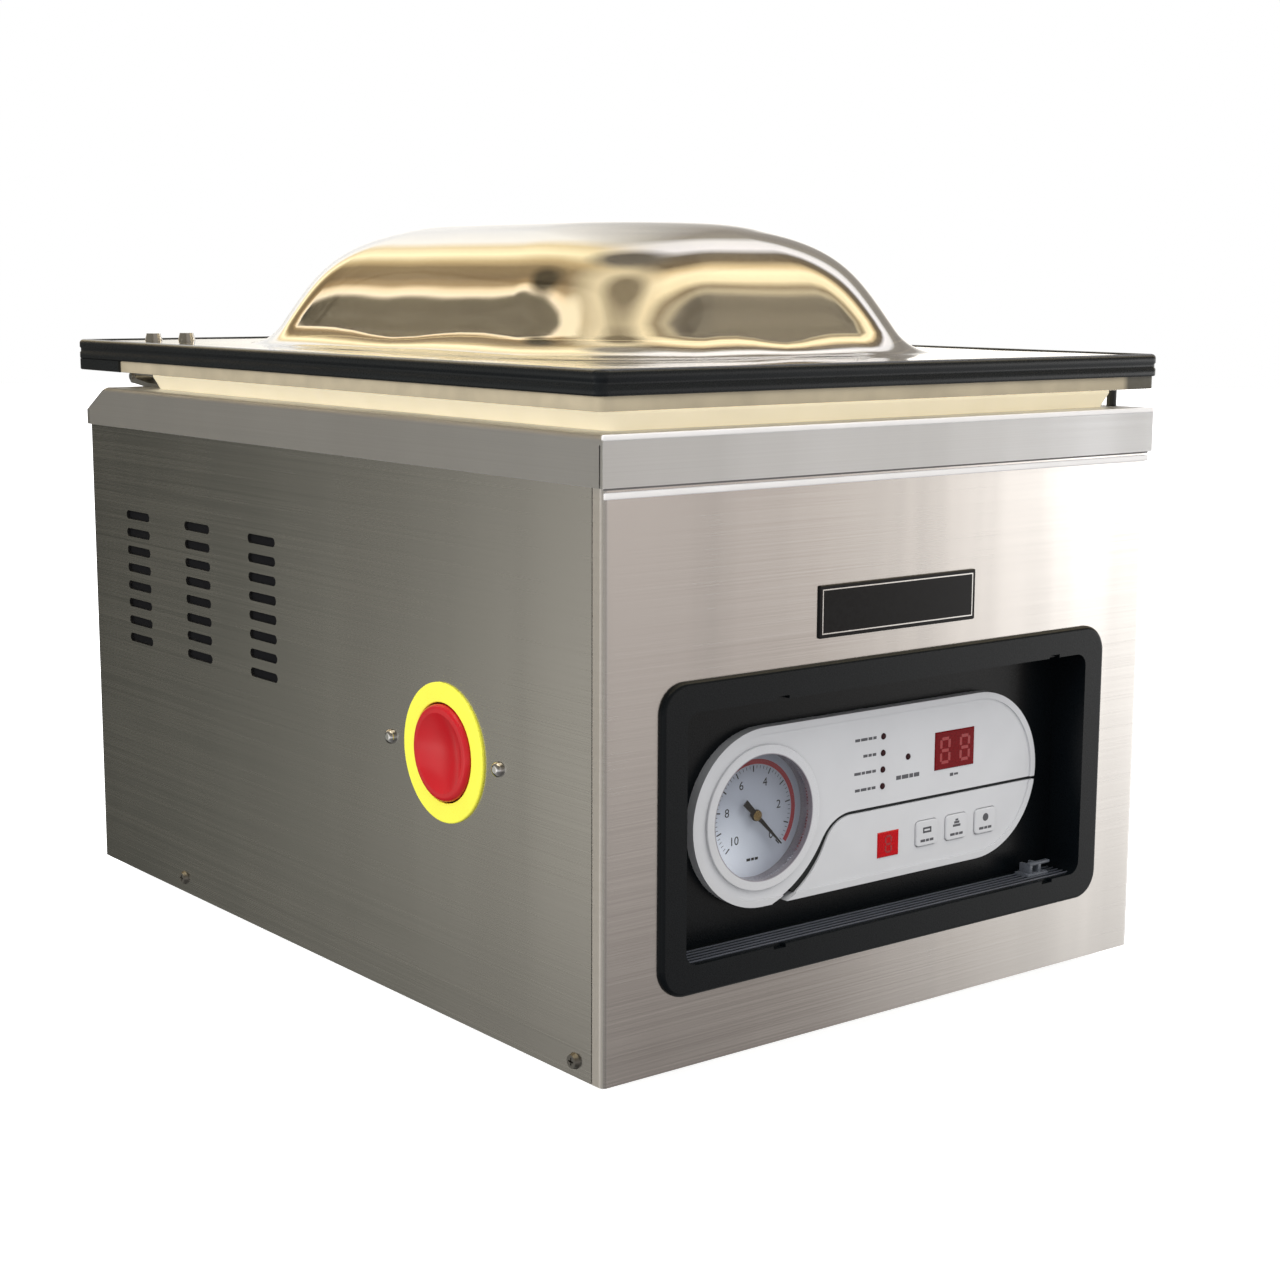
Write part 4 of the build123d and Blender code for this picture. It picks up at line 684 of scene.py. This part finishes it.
def make_frosted_edge():
    """Sawn edge of the clear plate below the band, which scatters the light inside it."""
    low = PLATE_LOW.z
    high = BAND_BOTTOM
    skin = 0.5 * MM
    gap = 0.02 * MM  # clearance from the plate and the band
    profile = [
        (gap, low + 0.3 * MM),
        (skin - 0.2 * MM, low + 0.1 * MM),
        (skin, low + 0.5 * MM),
        (skin, high - gap),
        (gap, high - gap),
    ]
    build = bmesh.new()
    add_sweep(build, front_path, profile, False)
    mesh = mesh_from(build, "sawn")
    # painted light and shade on the sawn edge: pale before the gasket's end, dark beyond it
    sawn = sawn_plastic("sawn_acrylic", (0.50, 0.425, 0.29), (0.09, 0.08, 0.055), GASKET_END_X)
    finish_piece("lid_sawn_edge", mesh, "clear_acrylic", "lid", material=sawn, sharp=50)


make_lid_window()
make_edge_band()
make_frosted_edge()


# ---- printed marks
def bar(x, z, width, height, turn=0.0):
    """Outline of a rectangle in the front view, turned by some degrees."""
    along = polar(width / 2, turn)
    across = polar(height / 2, turn + 90)
    middle = Vector((x, z))
    corners = ((-1, -1), (1, -1), (1, 1), (-1, 1))
    return [middle + along * side + across * level for side, level in corners]


def disc(x, z, radius, steps=28):
    return [Vector((x, z)) + polar(radius, 360 * i / steps) for i in range(steps)]


def arc_band(x, z, inner, outer, start, end, steps=48):
    """Outline of a curved stripe between two radii, from one angle to another."""
    turns = [start + (end - start) * i / steps for i in range(steps + 1)]
    inside = [Vector((x, z)) + polar(inner, turn) for turn in turns]
    outside = [Vector((x, z)) + polar(outer, turn) for turn in reversed(turns)]
    return inside + outside


def words(x, z, lengths, height, gap):
    """A row of short bars that stands in for small printing and ends at x."""
    start = x - sum(lengths) - gap * (len(lengths) - 1)
    outlines = []
    for length in lengths:
        outlines.append(bar(start + length / 2, z, length, height))
        start += length + gap
    return outlines


PRINT_BED = 0.02 * MM  # how deep prints sit in their face
PRINT_THICK = 0.06 * MM
LONG_OUTLINE = 60  # points from which an outline is filled as a stripe between its two sides


def print_piece(
    name, outlines, face_y, slot, material=None, body="cabinet", thick=PRINT_THICK, extra=()
):
    """Thin raised print on a face that looks to the front; extra are ready meshes."""
    build = bmesh.new()
    for outline in outlines:
        back = [build.verts.new((point.x, face_y + PRINT_BED, point.y)) for point in outline]
        front = [build.verts.new((point.x, face_y - thick, point.y)) for point in outline]
        if len(outline) > LONG_OUTLINE:
            half = len(outline) // 2
            for i in range(half - 1):
                j = len(outline) - 1 - i
                build.faces.new((front[i], front[i + 1], front[j - 1], front[j]))
                build.faces.new((back[j], back[j - 1], back[i + 1], back[i]))
        else:
            build.faces.new(front)
            build.faces.new(list(reversed(back)))
        for i in range(len(outline)):
            j = (i + 1) % len(outline)
            build.faces.new((front[j], front[i], back[i], back[j]))
    for mesh in extra:
        build.from_mesh(mesh)
    finish_piece(name, mesh_from(build, name), slot, body, smooth=False, material=material)


def numeral(text, x, z, height, face_y):
    """Mesh of a number that stands on a face looking to the front."""
    curve = bpy.data.curves.new("numeral", "FONT")
    curve.body = text
    curve.size = height
    curve.extrude = 0.03 * MM
    curve.align_x = "CENTER"
    curve.align_y = "CENTER"
    holder = bpy.data.objects.new("numeral", curve)
    mesh = bpy.data.meshes.new_from_object(holder)
    upright = Matrix.Rotation(math.radians(90), 4, "X")
    mesh.transform(Matrix.Translation((x, face_y - PRINT_BED, z)) @ upright)
    bpy.data.objects.remove(holder)
    return mesh


NEEDLE_ZERO = -45.0
SCALE_SWEEP = 270.0
SCALE_STEPS = 50
LONG_TICK_EVERY = 5
NUMBERS = 6
# Parts of the dial's radius that its marks reach.
TICK_OUTER, TICK_INNER, LONG_TICK_INNER = 0.78, 0.73, 0.68
NUMBER_REACH = 0.54
RED_INNER, RED_OUTER = 0.80, 0.88
RED_START, RED_END = -38.0, 146.0
TINY_GRAIN = 900.0, 0.00001  # grain and relief of smooth prints


def make_dial_print():
    middle = DIAL_CENTRE.xz
    ticks = []
    for step in range(SCALE_STEPS + 1):
        angle = NEEDLE_ZERO + SCALE_SWEEP * step / SCALE_STEPS
        long_tick = step % LONG_TICK_EVERY == 0
        inner = DIAL_RADIUS * (LONG_TICK_INNER if long_tick else TICK_INNER)
        outer = DIAL_RADIUS * TICK_OUTER
        place = middle + polar((inner + outer) / 2, angle)
        thick = (0.55 if long_tick else 0.22) * MM
        ticks.append(bar(*place, outer - inner, thick, angle))
    numbers = []
    for step in range(NUMBERS):
        angle = NEEDLE_ZERO + SCALE_SWEEP * step / (NUMBERS - 1)
        place = middle + polar(DIAL_RADIUS * NUMBER_REACH, angle)
        numbers.append(numeral(str(step * 2), *place, 5.4 * MM, DIAL_FACE_Y))
    low = middle.y - 0.72 * DIAL_RADIUS
    ticks.extend(words(middle.x + 3.2 * MM, low, mm(2.2, 1.6, 1.8), 1.2 * MM, 0.5 * MM))
    print_piece("dial_scale", ticks, DIAL_FACE_Y, "needle_black", extra=numbers)
    reach = DIAL_RADIUS * RED_INNER, DIAL_RADIUS * RED_OUTER
    arc = arc_band(*middle, *reach, RED_START, RED_END)
    red = moulded("scale_red", (0.42, 0.035, 0.05), 0.4, *TINY_GRAIN)
    print_piece("dial_red_arc", [arc], DIAL_FACE_Y, "signal_red", red)


def make_needle_cap():
    """Turned brass cap over the needle's hub."""
    hub_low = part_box("gauge_needle")[0]
    profile = [(2.3, 0.0), (2.3, 0.25), (1.9, 0.55), (1.2, 0.8), (0.5, 0.9)]
    build = bmesh.new()
    rings = []
    for radius, rise in profile:
        ring = disc(*DIAL_CENTRE.xz, radius * MM, 32)
        rings.append([(p.x, hub_low.y - rise * MM, p.y) for p in ring])
    rows = add_rows(build, rings)
    build.faces.new(rows[0][::-1])
    build.faces.new(rows[-1])
    finish_piece("needle_cap", mesh_from(build, "cap"), "brass_body", "gauge_needle")


PANEL_SKIN_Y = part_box("level_display")[0].y + 0.5 * MM
LED_LOW, LED_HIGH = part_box("indicator_leds")
LED_RADIUS = 1.5 * MM
LED_X = LED_LOW.x + LED_RADIUS
LED_TOP_Z = LED_HIGH.z - LED_RADIUS
LED_STEP = 7.7 * MM


def make_panel_print():
    ink = []
    rows = [mm(3, 4, 2.4, 2), mm(2.6, 2, 2.2), mm(4, 2, 3.4, 2.2), mm(3, 3.6, 2, 2.4)]
    for row, lengths in enumerate(rows):
        z = LED_TOP_Z - row * LED_STEP
        ink.extend(words(LED_X - 4.4 * MM, z, lengths, 1.3 * MM, 0.6 * MM))
    beside = mm(3, 4.2, 2.4, 3.4)
    ink.extend(words(LED_HIGH.x + 6 * MM, LED_TOP_Z - 20.6 * MM, beside, 1.9 * MM, 0.6 * MM))
    big = centre("time_display")
    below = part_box("time_display")[0].z - 3.2 * MM
    ink.append(bar(big.x - 1.4 * MM, below, 2.2 * MM, 1.5 * MM))
    ink.append(bar(big.x + 1.6 * MM, below, 2.6 * MM, 1.0 * MM))
    print_ink = moulded("panel_ink", (0.085, 0.085, 0.095), 0.5, *TINY_GRAIN)
    print_piece("panel_print", ink, PANEL_SKIN_Y, "needle_black", print_ink)
    level = [bar(0, z, 4.6, 0.9) for z in (0.6, 2.4)]
    sides = [bar(x, 1.5, 0.8, 2.7) for x in (-2.3, 2.3)]
    icons = {
        "key_left": level + sides,
        "key_middle": [bar(0, 0.7, 5.0, 1.1), bar(0, 2.2, 3.4, 1.1), bar(0, 3.4, 1.8, 0.9)],
        "key_right": [disc(0, 1.7, 1.9)],
    }
    for key, shapes in icons.items():
        place = centre(key)
        outlines = []
        for shape in shapes:
            outlines.append([Vector((place.x + p.x * MM, place.z + p.y * MM)) for p in shape])
        low = place.z - 3.4 * MM
        outlines.extend(words(place.x + 4.2 * MM, low, mm(3, 2, 2.4), 1.2 * MM, 0.5 * MM))
        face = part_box(key)[0].y
        print_piece(f"{key}_print", outlines, face, "needle_black", print_ink, key)


def tangent_arc(start, heading, end, steps=10):
    """Points of the arc that leaves a point along a heading and ends at another point."""
    span = end - start
    normal = Vector((-heading.y, heading.x))
    radius = span.length_squared / (2 * span.dot(normal))
    middle = start + normal * radius
    first = start - middle
    sweep = first.angle_signed(end - middle)
    points = []
    for step in range(1, steps + 1):
        turn = Matrix.Rotation(-sweep * step / steps, 2)
        points.append(middle + turn @ first)
    last_heading = (Matrix.Rotation(-sweep, 2) @ heading).normalized()
    return points, last_heading


GROOVE_HALF = 0.74  # half of the strip's width, in millimetres
STRIP_SUNK = 0.9 * MM  # its face behind the panel's
STRIP_DEPTH = 2.4 * MM


def groove_edge(shift):
    """One side of the groove between the panel's two mouldings, in millimetres."""
    right_end = Vector((105.5, -6.0 + shift))
    run_end = Vector((-14.0, -6.0 + shift))
    bend_end = Vector((-30.5 - 1.5 * shift, -16.0 + 0.75 * shift))
    low_end = Vector((-60.0 - 1.6 * shift, -41.0 + 1.6 * shift))
    bend, heading = tangent_arc(run_end, Vector((-1, 0)), bend_end)
    sweep, heading = tangent_arc(bend_end, heading, low_end)
    return [right_end, run_end, *bend, *[point for point in sweep if point.y > -37.5]]


def make_groove_strip():
    """Black rubber strip that lies in the groove between the panel's two mouldings."""
    place = centre("gauge_case")
    upper = groove_edge(GROOVE_HALF)
    lower = groove_edge(-GROOVE_HALF)
    count = min(len(upper), len(lower))
    face = PANEL_SKIN_Y + STRIP_SUNK
    outline = upper[:count] + lower[:count][::-1]
    build = bmesh.new()
    rings = []
    for y in (face, face + STRIP_DEPTH):
        rings.append([(point.x * MM, y, place.z + point.y * MM) for point in outline])
    rows = add_rows(build, rings)
    last = len(outline) - 1
    for i in range(count - 1):
        for row in rows:
            build.faces.new((row[i], row[i + 1], row[last - i - 1], row[last - i]))
    finish_piece("groove_strip", mesh_from(build, "strip"), "black_rubber", smooth=False)


def seven_segments(x, z, width, height, stroke):
    """The seven strokes of one digit."""
    half = height / 2
    run = width - 1.6 * stroke
    strokes = [bar(x, z + side * (half - stroke / 2), run, stroke) for side in (-1, 1)]
    strokes.append(bar(x, z, run, stroke))
    for side in (-1, 1):
        for level in (-0.5, 0.5):
            place_x = x + side * (width - stroke) / 2
            strokes.append(bar(place_x, z + level * half, stroke, half - 1.6 * stroke))
    return strokes


# Digits and colour of each display; a digit's size is a part of its display's height.
DISPLAYS = {"time_display": (2, (0.30, 0.012, 0.016)), "level_display": (1, (0.30, 0.004, 0.008))}
DIGIT_TALL = 0.70
DIGIT_WIDE, DIGIT_STROKE = 0.55, 0.12  # parts of the digit's height


def make_display_digits():
    for node, (digits, colour) in DISPLAYS.items():
        low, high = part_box(node)
        width = (high.x - low.x) / digits
        tall = (high.z - low.z) * DIGIT_TALL
        strokes = []
        for digit in range(digits):
            x = low.x + width * (digit + 0.5)
            z = (low.z + high.z) / 2
            strokes.extend(seven_segments(x, z, tall * DIGIT_WIDE, tall, tall * DIGIT_STROKE))
        shade = moulded(f"{node}_segments_red", colour, 0.2, *TINY_GRAIN, 0.3)
        name = f"{node}_segments"
        print_piece(name, strokes, low.y, "red_window", shade, thick=0.03 * MM)


def make_nameplate_border():
    """Thin plain border of bare metal on the blank nameplate."""
    low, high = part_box("nameplate")
    x, _, z = (low + high) / 2
    margin = 1.7 * MM
    width = high.x - low.x - 2 * margin
    height = high.z - low.z - 2 * margin
    line = 0.5 * MM
    sides = [bar(x, z + side * (height - line) / 2, width, line) for side in (-1, 1)]
    for side in (-1, 1):
        sides.append(bar(x + side * (width - line) / 2, z, line, height - 2 * line))
    print_piece("nameplate_border", sides, low.y, "bright_steel", thick=0.04 * MM)


# ---- fitted details
def pillow_box(across, deep, upright, radius, segments=3):
    """Box with rounded edges, between (low, high) places along X, Y and Z."""
    build = bmesh.new()
    bmesh.ops.create_cube(build, size=1.0)
    low, high = (Vector(corner) for corner in zip(across, deep, upright))
    extent = high - low
    middle = (low + high) / 2
    for vertex in build.verts:
        vertex.co = Vector([middle[i] + vertex.co[i] * extent[i] for i in range(3)])
    bmesh.ops.bevel(
        build, geom=build.edges[:], offset=radius, segments=segments, affect="EDGES", profile=0.5
    )
    return mesh_from(build, "rounded")


def joined(meshes):
    build = bmesh.new()
    for mesh in meshes:
        build.from_mesh(mesh)
    return mesh_from(build, "joined")


VENTS_Z = mm(132, 216)  # heights that the vents lie between
SIDE_VENTS_Y = mm(24, 202)
REAR_VENTS_X = mm(-66, 66)
PAD_GAP = 0.2 * MM
PAD_THICK = 5 * MM


def make_vent_shade_pads():
    """Foam pads behind the vents, dark sheets in place of the shade inside, so no light shows
    through.
    """
    wall_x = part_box("right_panel")[0].x - PAD_GAP
    wall_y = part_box("rear_panel")[0].y - PAD_GAP
    pads = [
        ((-wall_x, PAD_THICK - wall_x), SIDE_VENTS_Y),
        ((wall_x - PAD_THICK, wall_x), SIDE_VENTS_Y),
        (REAR_VENTS_X, (wall_y - PAD_THICK, wall_y)),
    ]
    foam = moulded("vent_shade_foam", (0.010, 0.010, 0.011), 0.95, 420.0, 0.0008, specular=0.1)
    mesh = joined([pillow_box(across, deep, VENTS_Z, 1.6 * MM) for across, deep in pads])
    finish_piece("vent_shade_pads", mesh, "black_rubber", material=foam)


RECESS_FLOOR = 13 * MM  # above the bezel's lower edge
RECESS_MARGIN = 16 * MM  # from the bezel's sides to the ribs' ends
RIBS_Y = (-233.5, -230.5, -227.5, -224.5, -221.5)  # millimetres
CLIP = [  # its boxes, in millimetres: across, deep, above the floor
    ((96, 110), (-230, -221), (0, 1.6)),
    ((98, 100), (-229, -222), (1.4, 6.0)),
    ((104, 106), (-229, -222), (1.4, 6.0)),
    ((98, 112), (-229, -226.4), (5.2, 6.6)),
]


def make_recess_details():
    """Low ribs along the recess's floor, paler by painted sheen, and a paler moulded clip at its
    right end for painted glints.
    """
    low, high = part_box("bezel")
    floor = low.z + RECESS_FLOOR
    half = (high.x - low.x) / 2 - RECESS_MARGIN
    upright = (floor - 0.2 * MM, floor + 0.6 * MM)
    ribs = [pillow_box((-half, half), mm(y - 0.5, y + 0.5), upright, 0.25 * MM, 2) for y in RIBS_Y]
    # painted sheen: ribs paler than the black recess, in place of sheen lines along its floor
    painted_sheen = moulded("painted_sheen_ribs", (0.075, 0.082, 0.10), 0.3, 1800.0, 0.00004)
    finish_piece("recess_ribs", joined(ribs), "black_plastic", material=painted_sheen)
    parts = []
    for across, deep, above in CLIP:
        upright = [floor + height for height in mm(*above)]
        parts.append(pillow_box(mm(*across), mm(*deep), upright, 0.35 * MM, 2))
    # painted highlight: the clip's paler grey stands in for glints
    pale = moulded("clip_plastic", (0.11, 0.12, 0.14), 0.3, 1800.0, 0.00004)
    finish_piece("recess_clip", joined(parts), "black_plastic", material=pale)


def make_front_highlight_strips():
    """Pale strips of painted highlight across the front, at the skirt's top bend and below it, and
    a dark strip of painted shadow.
    """
    cover_low, cover_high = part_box("top_cover")
    panel_low, panel_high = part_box("front_panel")
    # painted highlights and painted shadow, in place of light and shade on the bent steel
    bright = moulded("painted_highlight_strip", (0.86, 0.84, 0.825), 0.35, 1500.0, 0.00001, mottle=0.03)
    shade = moulded("painted_gap_shadow", (0.20, 0.19, 0.185), 0.7, *TINY_GRAIN)
    sheet = (-panel_high.x, panel_high.x)
    cover = (cover_low.x, cover_high.x)
    # name, slot, finish, width, face, depths from the face, height, heights from it, rounding
    painted_strips = [
        ("front_highlight_strip", "stainless_sheet", bright, sheet, panel_low.y, (-0.9, 0.2), cover_low.z,
         (-4.6, -1.8), 0.5),
        ("cover_bend_highlight", "stainless_sheet", bright, cover, cover_low.y, (-0.2, 1.2), cover_high.z,
         (-2.4, 0.1), 0.6),
        ("skirt_gap_shadow", "black_rubber", shade, sheet, panel_low.y, (-0.5, 0.2), cover_low.z,
         (-0.9, 0.1), 0.1),
    ]
    for name, slot, material, across, face, deep, level, upright, radius in painted_strips:
        box = [[face + part for part in mm(*deep)], [level + part for part in mm(*upright)]]
        fold = pillow_box(across, *box, radius * MM)
        finish_piece(name, fold, slot, material=material)


make_dial_print()
make_needle_cap()
make_front_highlight_strips()
make_panel_print()
make_groove_strip()
make_display_digits()
make_nameplate_border()
make_vent_shade_pads()
make_recess_details()


# ---- camera and stage
CAMERA_PLACE = Vector((-0.6887, -0.9226, 0.3372))
CAMERA_YAW = math.radians(38.265)
CAMERA_PITCH = math.radians(9.344)
CAMERA_ROLL = math.radians(0.255)
CAMERA_LENS = 62.17


def make_camera():
    data = bpy.data.cameras.new("camera")
    data.lens = CAMERA_LENS
    data.sensor_width = 36.0
    data.clip_start = 0.01
    camera = bpy.data.objects.new("camera", data)
    turn = (
        Matrix.Rotation(-CAMERA_YAW, 4, "Z")
        @ Matrix.Rotation(math.radians(90) - CAMERA_PITCH, 4, "X")
        @ Matrix.Rotation(CAMERA_ROLL, 4, "Z")
    )
    camera.matrix_world = Matrix.Translation(CAMERA_PLACE) @ turn
    bpy.context.scene.collection.objects.link(camera)
    bpy.context.scene.camera = camera


def area_light(name, place, aim, width, height, power, colour=(1, 1, 1)):
    """Soft box that lights matt surfaces; the surroundings make the reflections."""
    data = bpy.data.lights.new(name, "AREA")
    data.shape = "RECTANGLE"
    data.size = width
    data.size_y = height
    data.energy = power
    data.color = colour
    lamp = bpy.data.objects.new(name, data)
    lamp.location = place
    lamp.rotation_euler = (Vector(aim) - Vector(place)).to_track_quat("-Z", "Y").to_euler()
    lamp.visible_glossy = False
    lamp.visible_transmission = False
    bpy.context.scene.collection.objects.link(lamp)


# Surroundings seen in upright steel, by compass angle (anticlockwise from +X, degrees).
AROUND = [
    (-180, (0.55, 0.54, 0.52)), (-135, (0.45, 0.44, 0.42)), (-100, (0.45, 0.42, 0.40)),
    (-75, (0.66, 0.62, 0.60)), (-58, (0.80, 0.75, 0.71)), (-50, (0.66, 0.60, 0.57)),
    (-46, (0.66, 0.60, 0.56)), (-43.5, (1.15, 1.08, 1.02)), (-40, (2.2, 2.17, 2.12)),
    (-30, (2.6, 2.6, 2.6)), (-5, (1.4, 1.4, 1.4)), (30, (1.5, 1.45, 1.35)),
    (58, (1.3, 1.25, 1.15)), (70, (0.45, 0.43, 0.38)), (96, (0.25, 0.23, 0.20)),
    (106, (0.02, 0.021, 0.018)), (114, (0.05, 0.052, 0.045)), (120, (0.17, 0.17, 0.148)),
    (124, (0.30, 0.295, 0.26)), (129, (0.54, 0.52, 0.47)), (137, (0.80, 0.76, 0.70)),
    (150, (0.85, 0.83, 0.79)), (180, (0.55, 0.54, 0.52)),
]
# Strip lights and walls overhead, by angle round an axis level with the face that shows
# them: 0 looks towards the viewer's side, 180 away over the machine.
OVER_LEFT = [
    (0, (0.21, 0.195, 0.16)), (50, (0.15, 0.135, 0.11)), (53, (0.225, 0.205, 0.165)),
    (54.5, (0.15, 0.135, 0.105)), (57.4, (0.21, 0.19, 0.145)), (59.2, (2.6, 2.25, 1.75)),
    (61.8, (2.3, 1.85, 1.25)), (64.5, (0.85, 0.60, 0.32)), (70, (0.48, 0.34, 0.19)),
    (81, (0.58, 0.43, 0.24)), (88, (1.3, 1.0, 0.55)), (99, (2.6, 2.3, 1.55)),
    (112, (1.8, 1.5, 0.95)), (124, (1.9, 1.88, 1.84)), (150, (1.3, 1.3, 1.3)),
    (174, (1.2, 1.17, 1.12)), (180, (0.95, 0.92, 0.87)),
]
OVER_FRONT = [
    (0, (0.34, 0.31, 0.27)), (50, (0.24, 0.22, 0.19)), (53, (0.34, 0.315, 0.27)),
    (54.5, (0.23, 0.21, 0.18)), (57, (0.33, 0.30, 0.26)), (59.3, (1.2, 1.05, 0.75)),
    (62, (0.6, 0.47, 0.30)), (66.5, (2.5, 2.15, 1.45)), (74, (2.9, 2.55, 1.8)),
    (80, (1.9, 1.5, 0.92)), (88, (0.34, 0.26, 0.17)), (99, (0.32, 0.28, 0.24)),
    (109, (2.2, 2.2, 2.4)), (122, (1.9, 1.9, 2.0)), (131, (0.58, 0.55, 0.51)),
    (143, (0.46, 0.43, 0.40)), (162, (0.46, 0.43, 0.40)), (174, (1.2, 1.17, 1.12)),
    (180, (0.95, 0.92, 0.87)),
]
# Soft patches overhead that only the dome's front corner shows: direction, size, colour.
OVERHEAD = [
    ((-0.15, -0.10, 0.98), 0.36, (1.9, 1.65, 1.15)),
    ((-0.10, -0.16, 0.98), 0.19, (0.44, 0.36, 0.24)),
    ((-0.44, -0.55, 0.71), 0.30, (0.13, 0.11, 0.08)),
    ((0.22, 0.26, 0.94), 0.20, (0.26, 0.245, 0.23)),
    ((-0.31, 0.53, 0.79), 0.17, (0.035, 0.03, 0.022)),
    ((-0.51, 0.13, 0.85), 0.12, (2.4, 2.15, 1.6)),
]
# How the upright faces' surroundings fade below the horizon, front and left.
FADE_FRONT = [(-40, 0.22), (-24, 0.30), (-18, 0.43), (-12, 0.76), (-6, 1.05), (0, 1.15)]
FADE_LEFT = [(-40, 0.28), (-24, 0.38), (-20, 0.55), (-17, 1.0), (-13.5, 1.45), (-10, 1.2)]
FADE_LEFT += [(-6, 1.0), (0, 0.95)]


class Surroundings(Nodes):
    """The world's node tree: white for the camera, soft studio for everything else."""

    def __init__(self):
        world = bpy.data.worlds.new("studio")
        bpy.context.scene.world = world
        super().__init__(world)
        self.direction = self.node("TexCoord").outputs["Generated"]
        self.x, self.y, self.z = self.split(self.direction)

    def degrees(self, upper, lower):
        """Angle of two direction parts, in degrees."""
        return self.math("MULTIPLY", self.math("ARCTAN2", upper, lower), 180 / math.pi)

    def over(self, part, bend):
        """Angle overhead round a level axis, from the viewer's side."""
        return self.math("ADD", self.degrees(self.z, self.math("MULTIPLY", part, -1.0)), bend)

    def ramp(self, source, table):
        """Values or colours at places along a source."""
        first, last = table[0][0], table[-1][0]
        positions = [(place - first) / (last - first) for place, _ in table]
        colours = [value if isinstance(value, tuple) else (value,) * 3 for _, value in table]
        return self.stops(self.span(source, first, last), positions, colours)


LEFT_SHARE = [(-180, 1.0), (-110, 1.0), (-90, 0.0), (50, 0.0), (90, 1.0), (180, 1.0)]
SOFT_LIGHT = [(-90, (0.60, 0.60, 0.60)), (0, (0.72, 0.72, 0.73)), (90, (0.95, 0.96, 0.98))]
THROUGH_CLEAR = (0.17, 0.15, 0.12)  # what light that has passed a clear piece meets
SWIRL_SCALE = 2.2
SWIRL_DEGREES = 9.0  # how far the strip lights wander from straight


def make_world():
    sky = Surroundings()
    compass = sky.degrees(sky.y, sky.x)
    elevation = sky.math("MULTIPLY", sky.math("ARCSINE", sky.z), 180 / math.pi)
    fades = [sky.ramp(elevation, fade) for fade in (FADE_FRONT, FADE_LEFT)]
    fade = sky.mix(sky.ramp(compass, LEFT_SHARE), *fades)
    low = sky.mix(1.0, sky.ramp(compass, AROUND), fade, blend="MULTIPLY")
    swirl = sky.node("TexNoise", {"Scale": SWIRL_SCALE, "Detail": 1.0}).outputs["Fac"]
    bend = sky.math("MULTIPLY", sky.math("SUBTRACT", swirl, 0.5), SWIRL_DEGREES)
    over_left = sky.ramp(sky.over(sky.x, bend), OVER_LEFT)
    over_front = sky.ramp(sky.over(sky.y, bend), OVER_FRONT)
    side = sky.math("SUBTRACT", sky.y, sky.math("MULTIPLY", sky.x, 1.3))
    high = sky.mix(sky.ramp(side, [(-0.2, 0.0), (0.2, 1.0)]), over_front, over_left)
    for place, reach, colour in OVERHEAD:
        away = sky.distance(sky.direction, Vector(place).normalized())
        patch = sky.ramp(away, [(0.55 * reach, 1.0), (1.3 * reach, 0.0)])
        high = sky.mix(patch, high, colour)
    reflected = sky.mix(sky.ramp(elevation, [(1.5, 0.0), (5.0, 1.0)]), low, high)

    rays = sky.node("LightPath").outputs
    seen = sky.mix(rays["Is Transmission Ray"], reflected, THROUGH_CLEAR)
    matt = sky.math("GREATER_THAN", rays["Diffuse Depth"], 0.5)
    seen = sky.mix(matt, seen, sky.ramp(elevation, SOFT_LIGHT))
    seen = sky.mix(rays["Is Camera Ray"], seen, (1.0, 1.0, 1.0))
    light = sky.node("Background", {"Color": seen}).outputs[0]
    sky.node("OutputWorld", {"Surface": light})


def make_floor():
    """Plain white floor that runs out into the white surroundings."""
    build = bmesh.new()
    bmesh.ops.create_circle(build, cap_ends=True, radius=6.0, segments=96)
    mesh = bpy.data.meshes.new("floor")
    build.to_mesh(mesh)
    build.free()
    floor = bpy.data.objects.new("floor", mesh)
    bpy.context.scene.collection.objects.link(floor)
    look = Finish("floor_white")
    reach = look.distance(look.place, Vector((0, 0, 0)))
    look.set(base_color=(0.9, 0.9, 0.9), roughness=0.9, specular=0.0)
    look.set(emission_color=(1, 1, 1), emission_strength=look.span(reach, 0.2, 1.0, 0.7, 1.0))
    mesh.materials.append(look.material)
    floor.visible_glossy = False
    floor.visible_transmission = False
    floor.visible_diffuse = False


make_camera()
make_world()
make_floor()
area_light("key", (0.9, -1.3, 1.7), (0, 0, 0.25), 1.1, 1.1, 14.0, (1.0, 0.99, 0.97))
area_light("top", (-0.2, 0.2, 1.8), (0, 0, 0.2), 1.6, 1.0, 12.0)
area_light("left", (-1.6, -0.4, 0.9), (0, 0, 0.15), 0.8, 1.0, 12.0)

view = bpy.context.scene.view_settings
view.view_transform = "Standard"
view.look = "None"
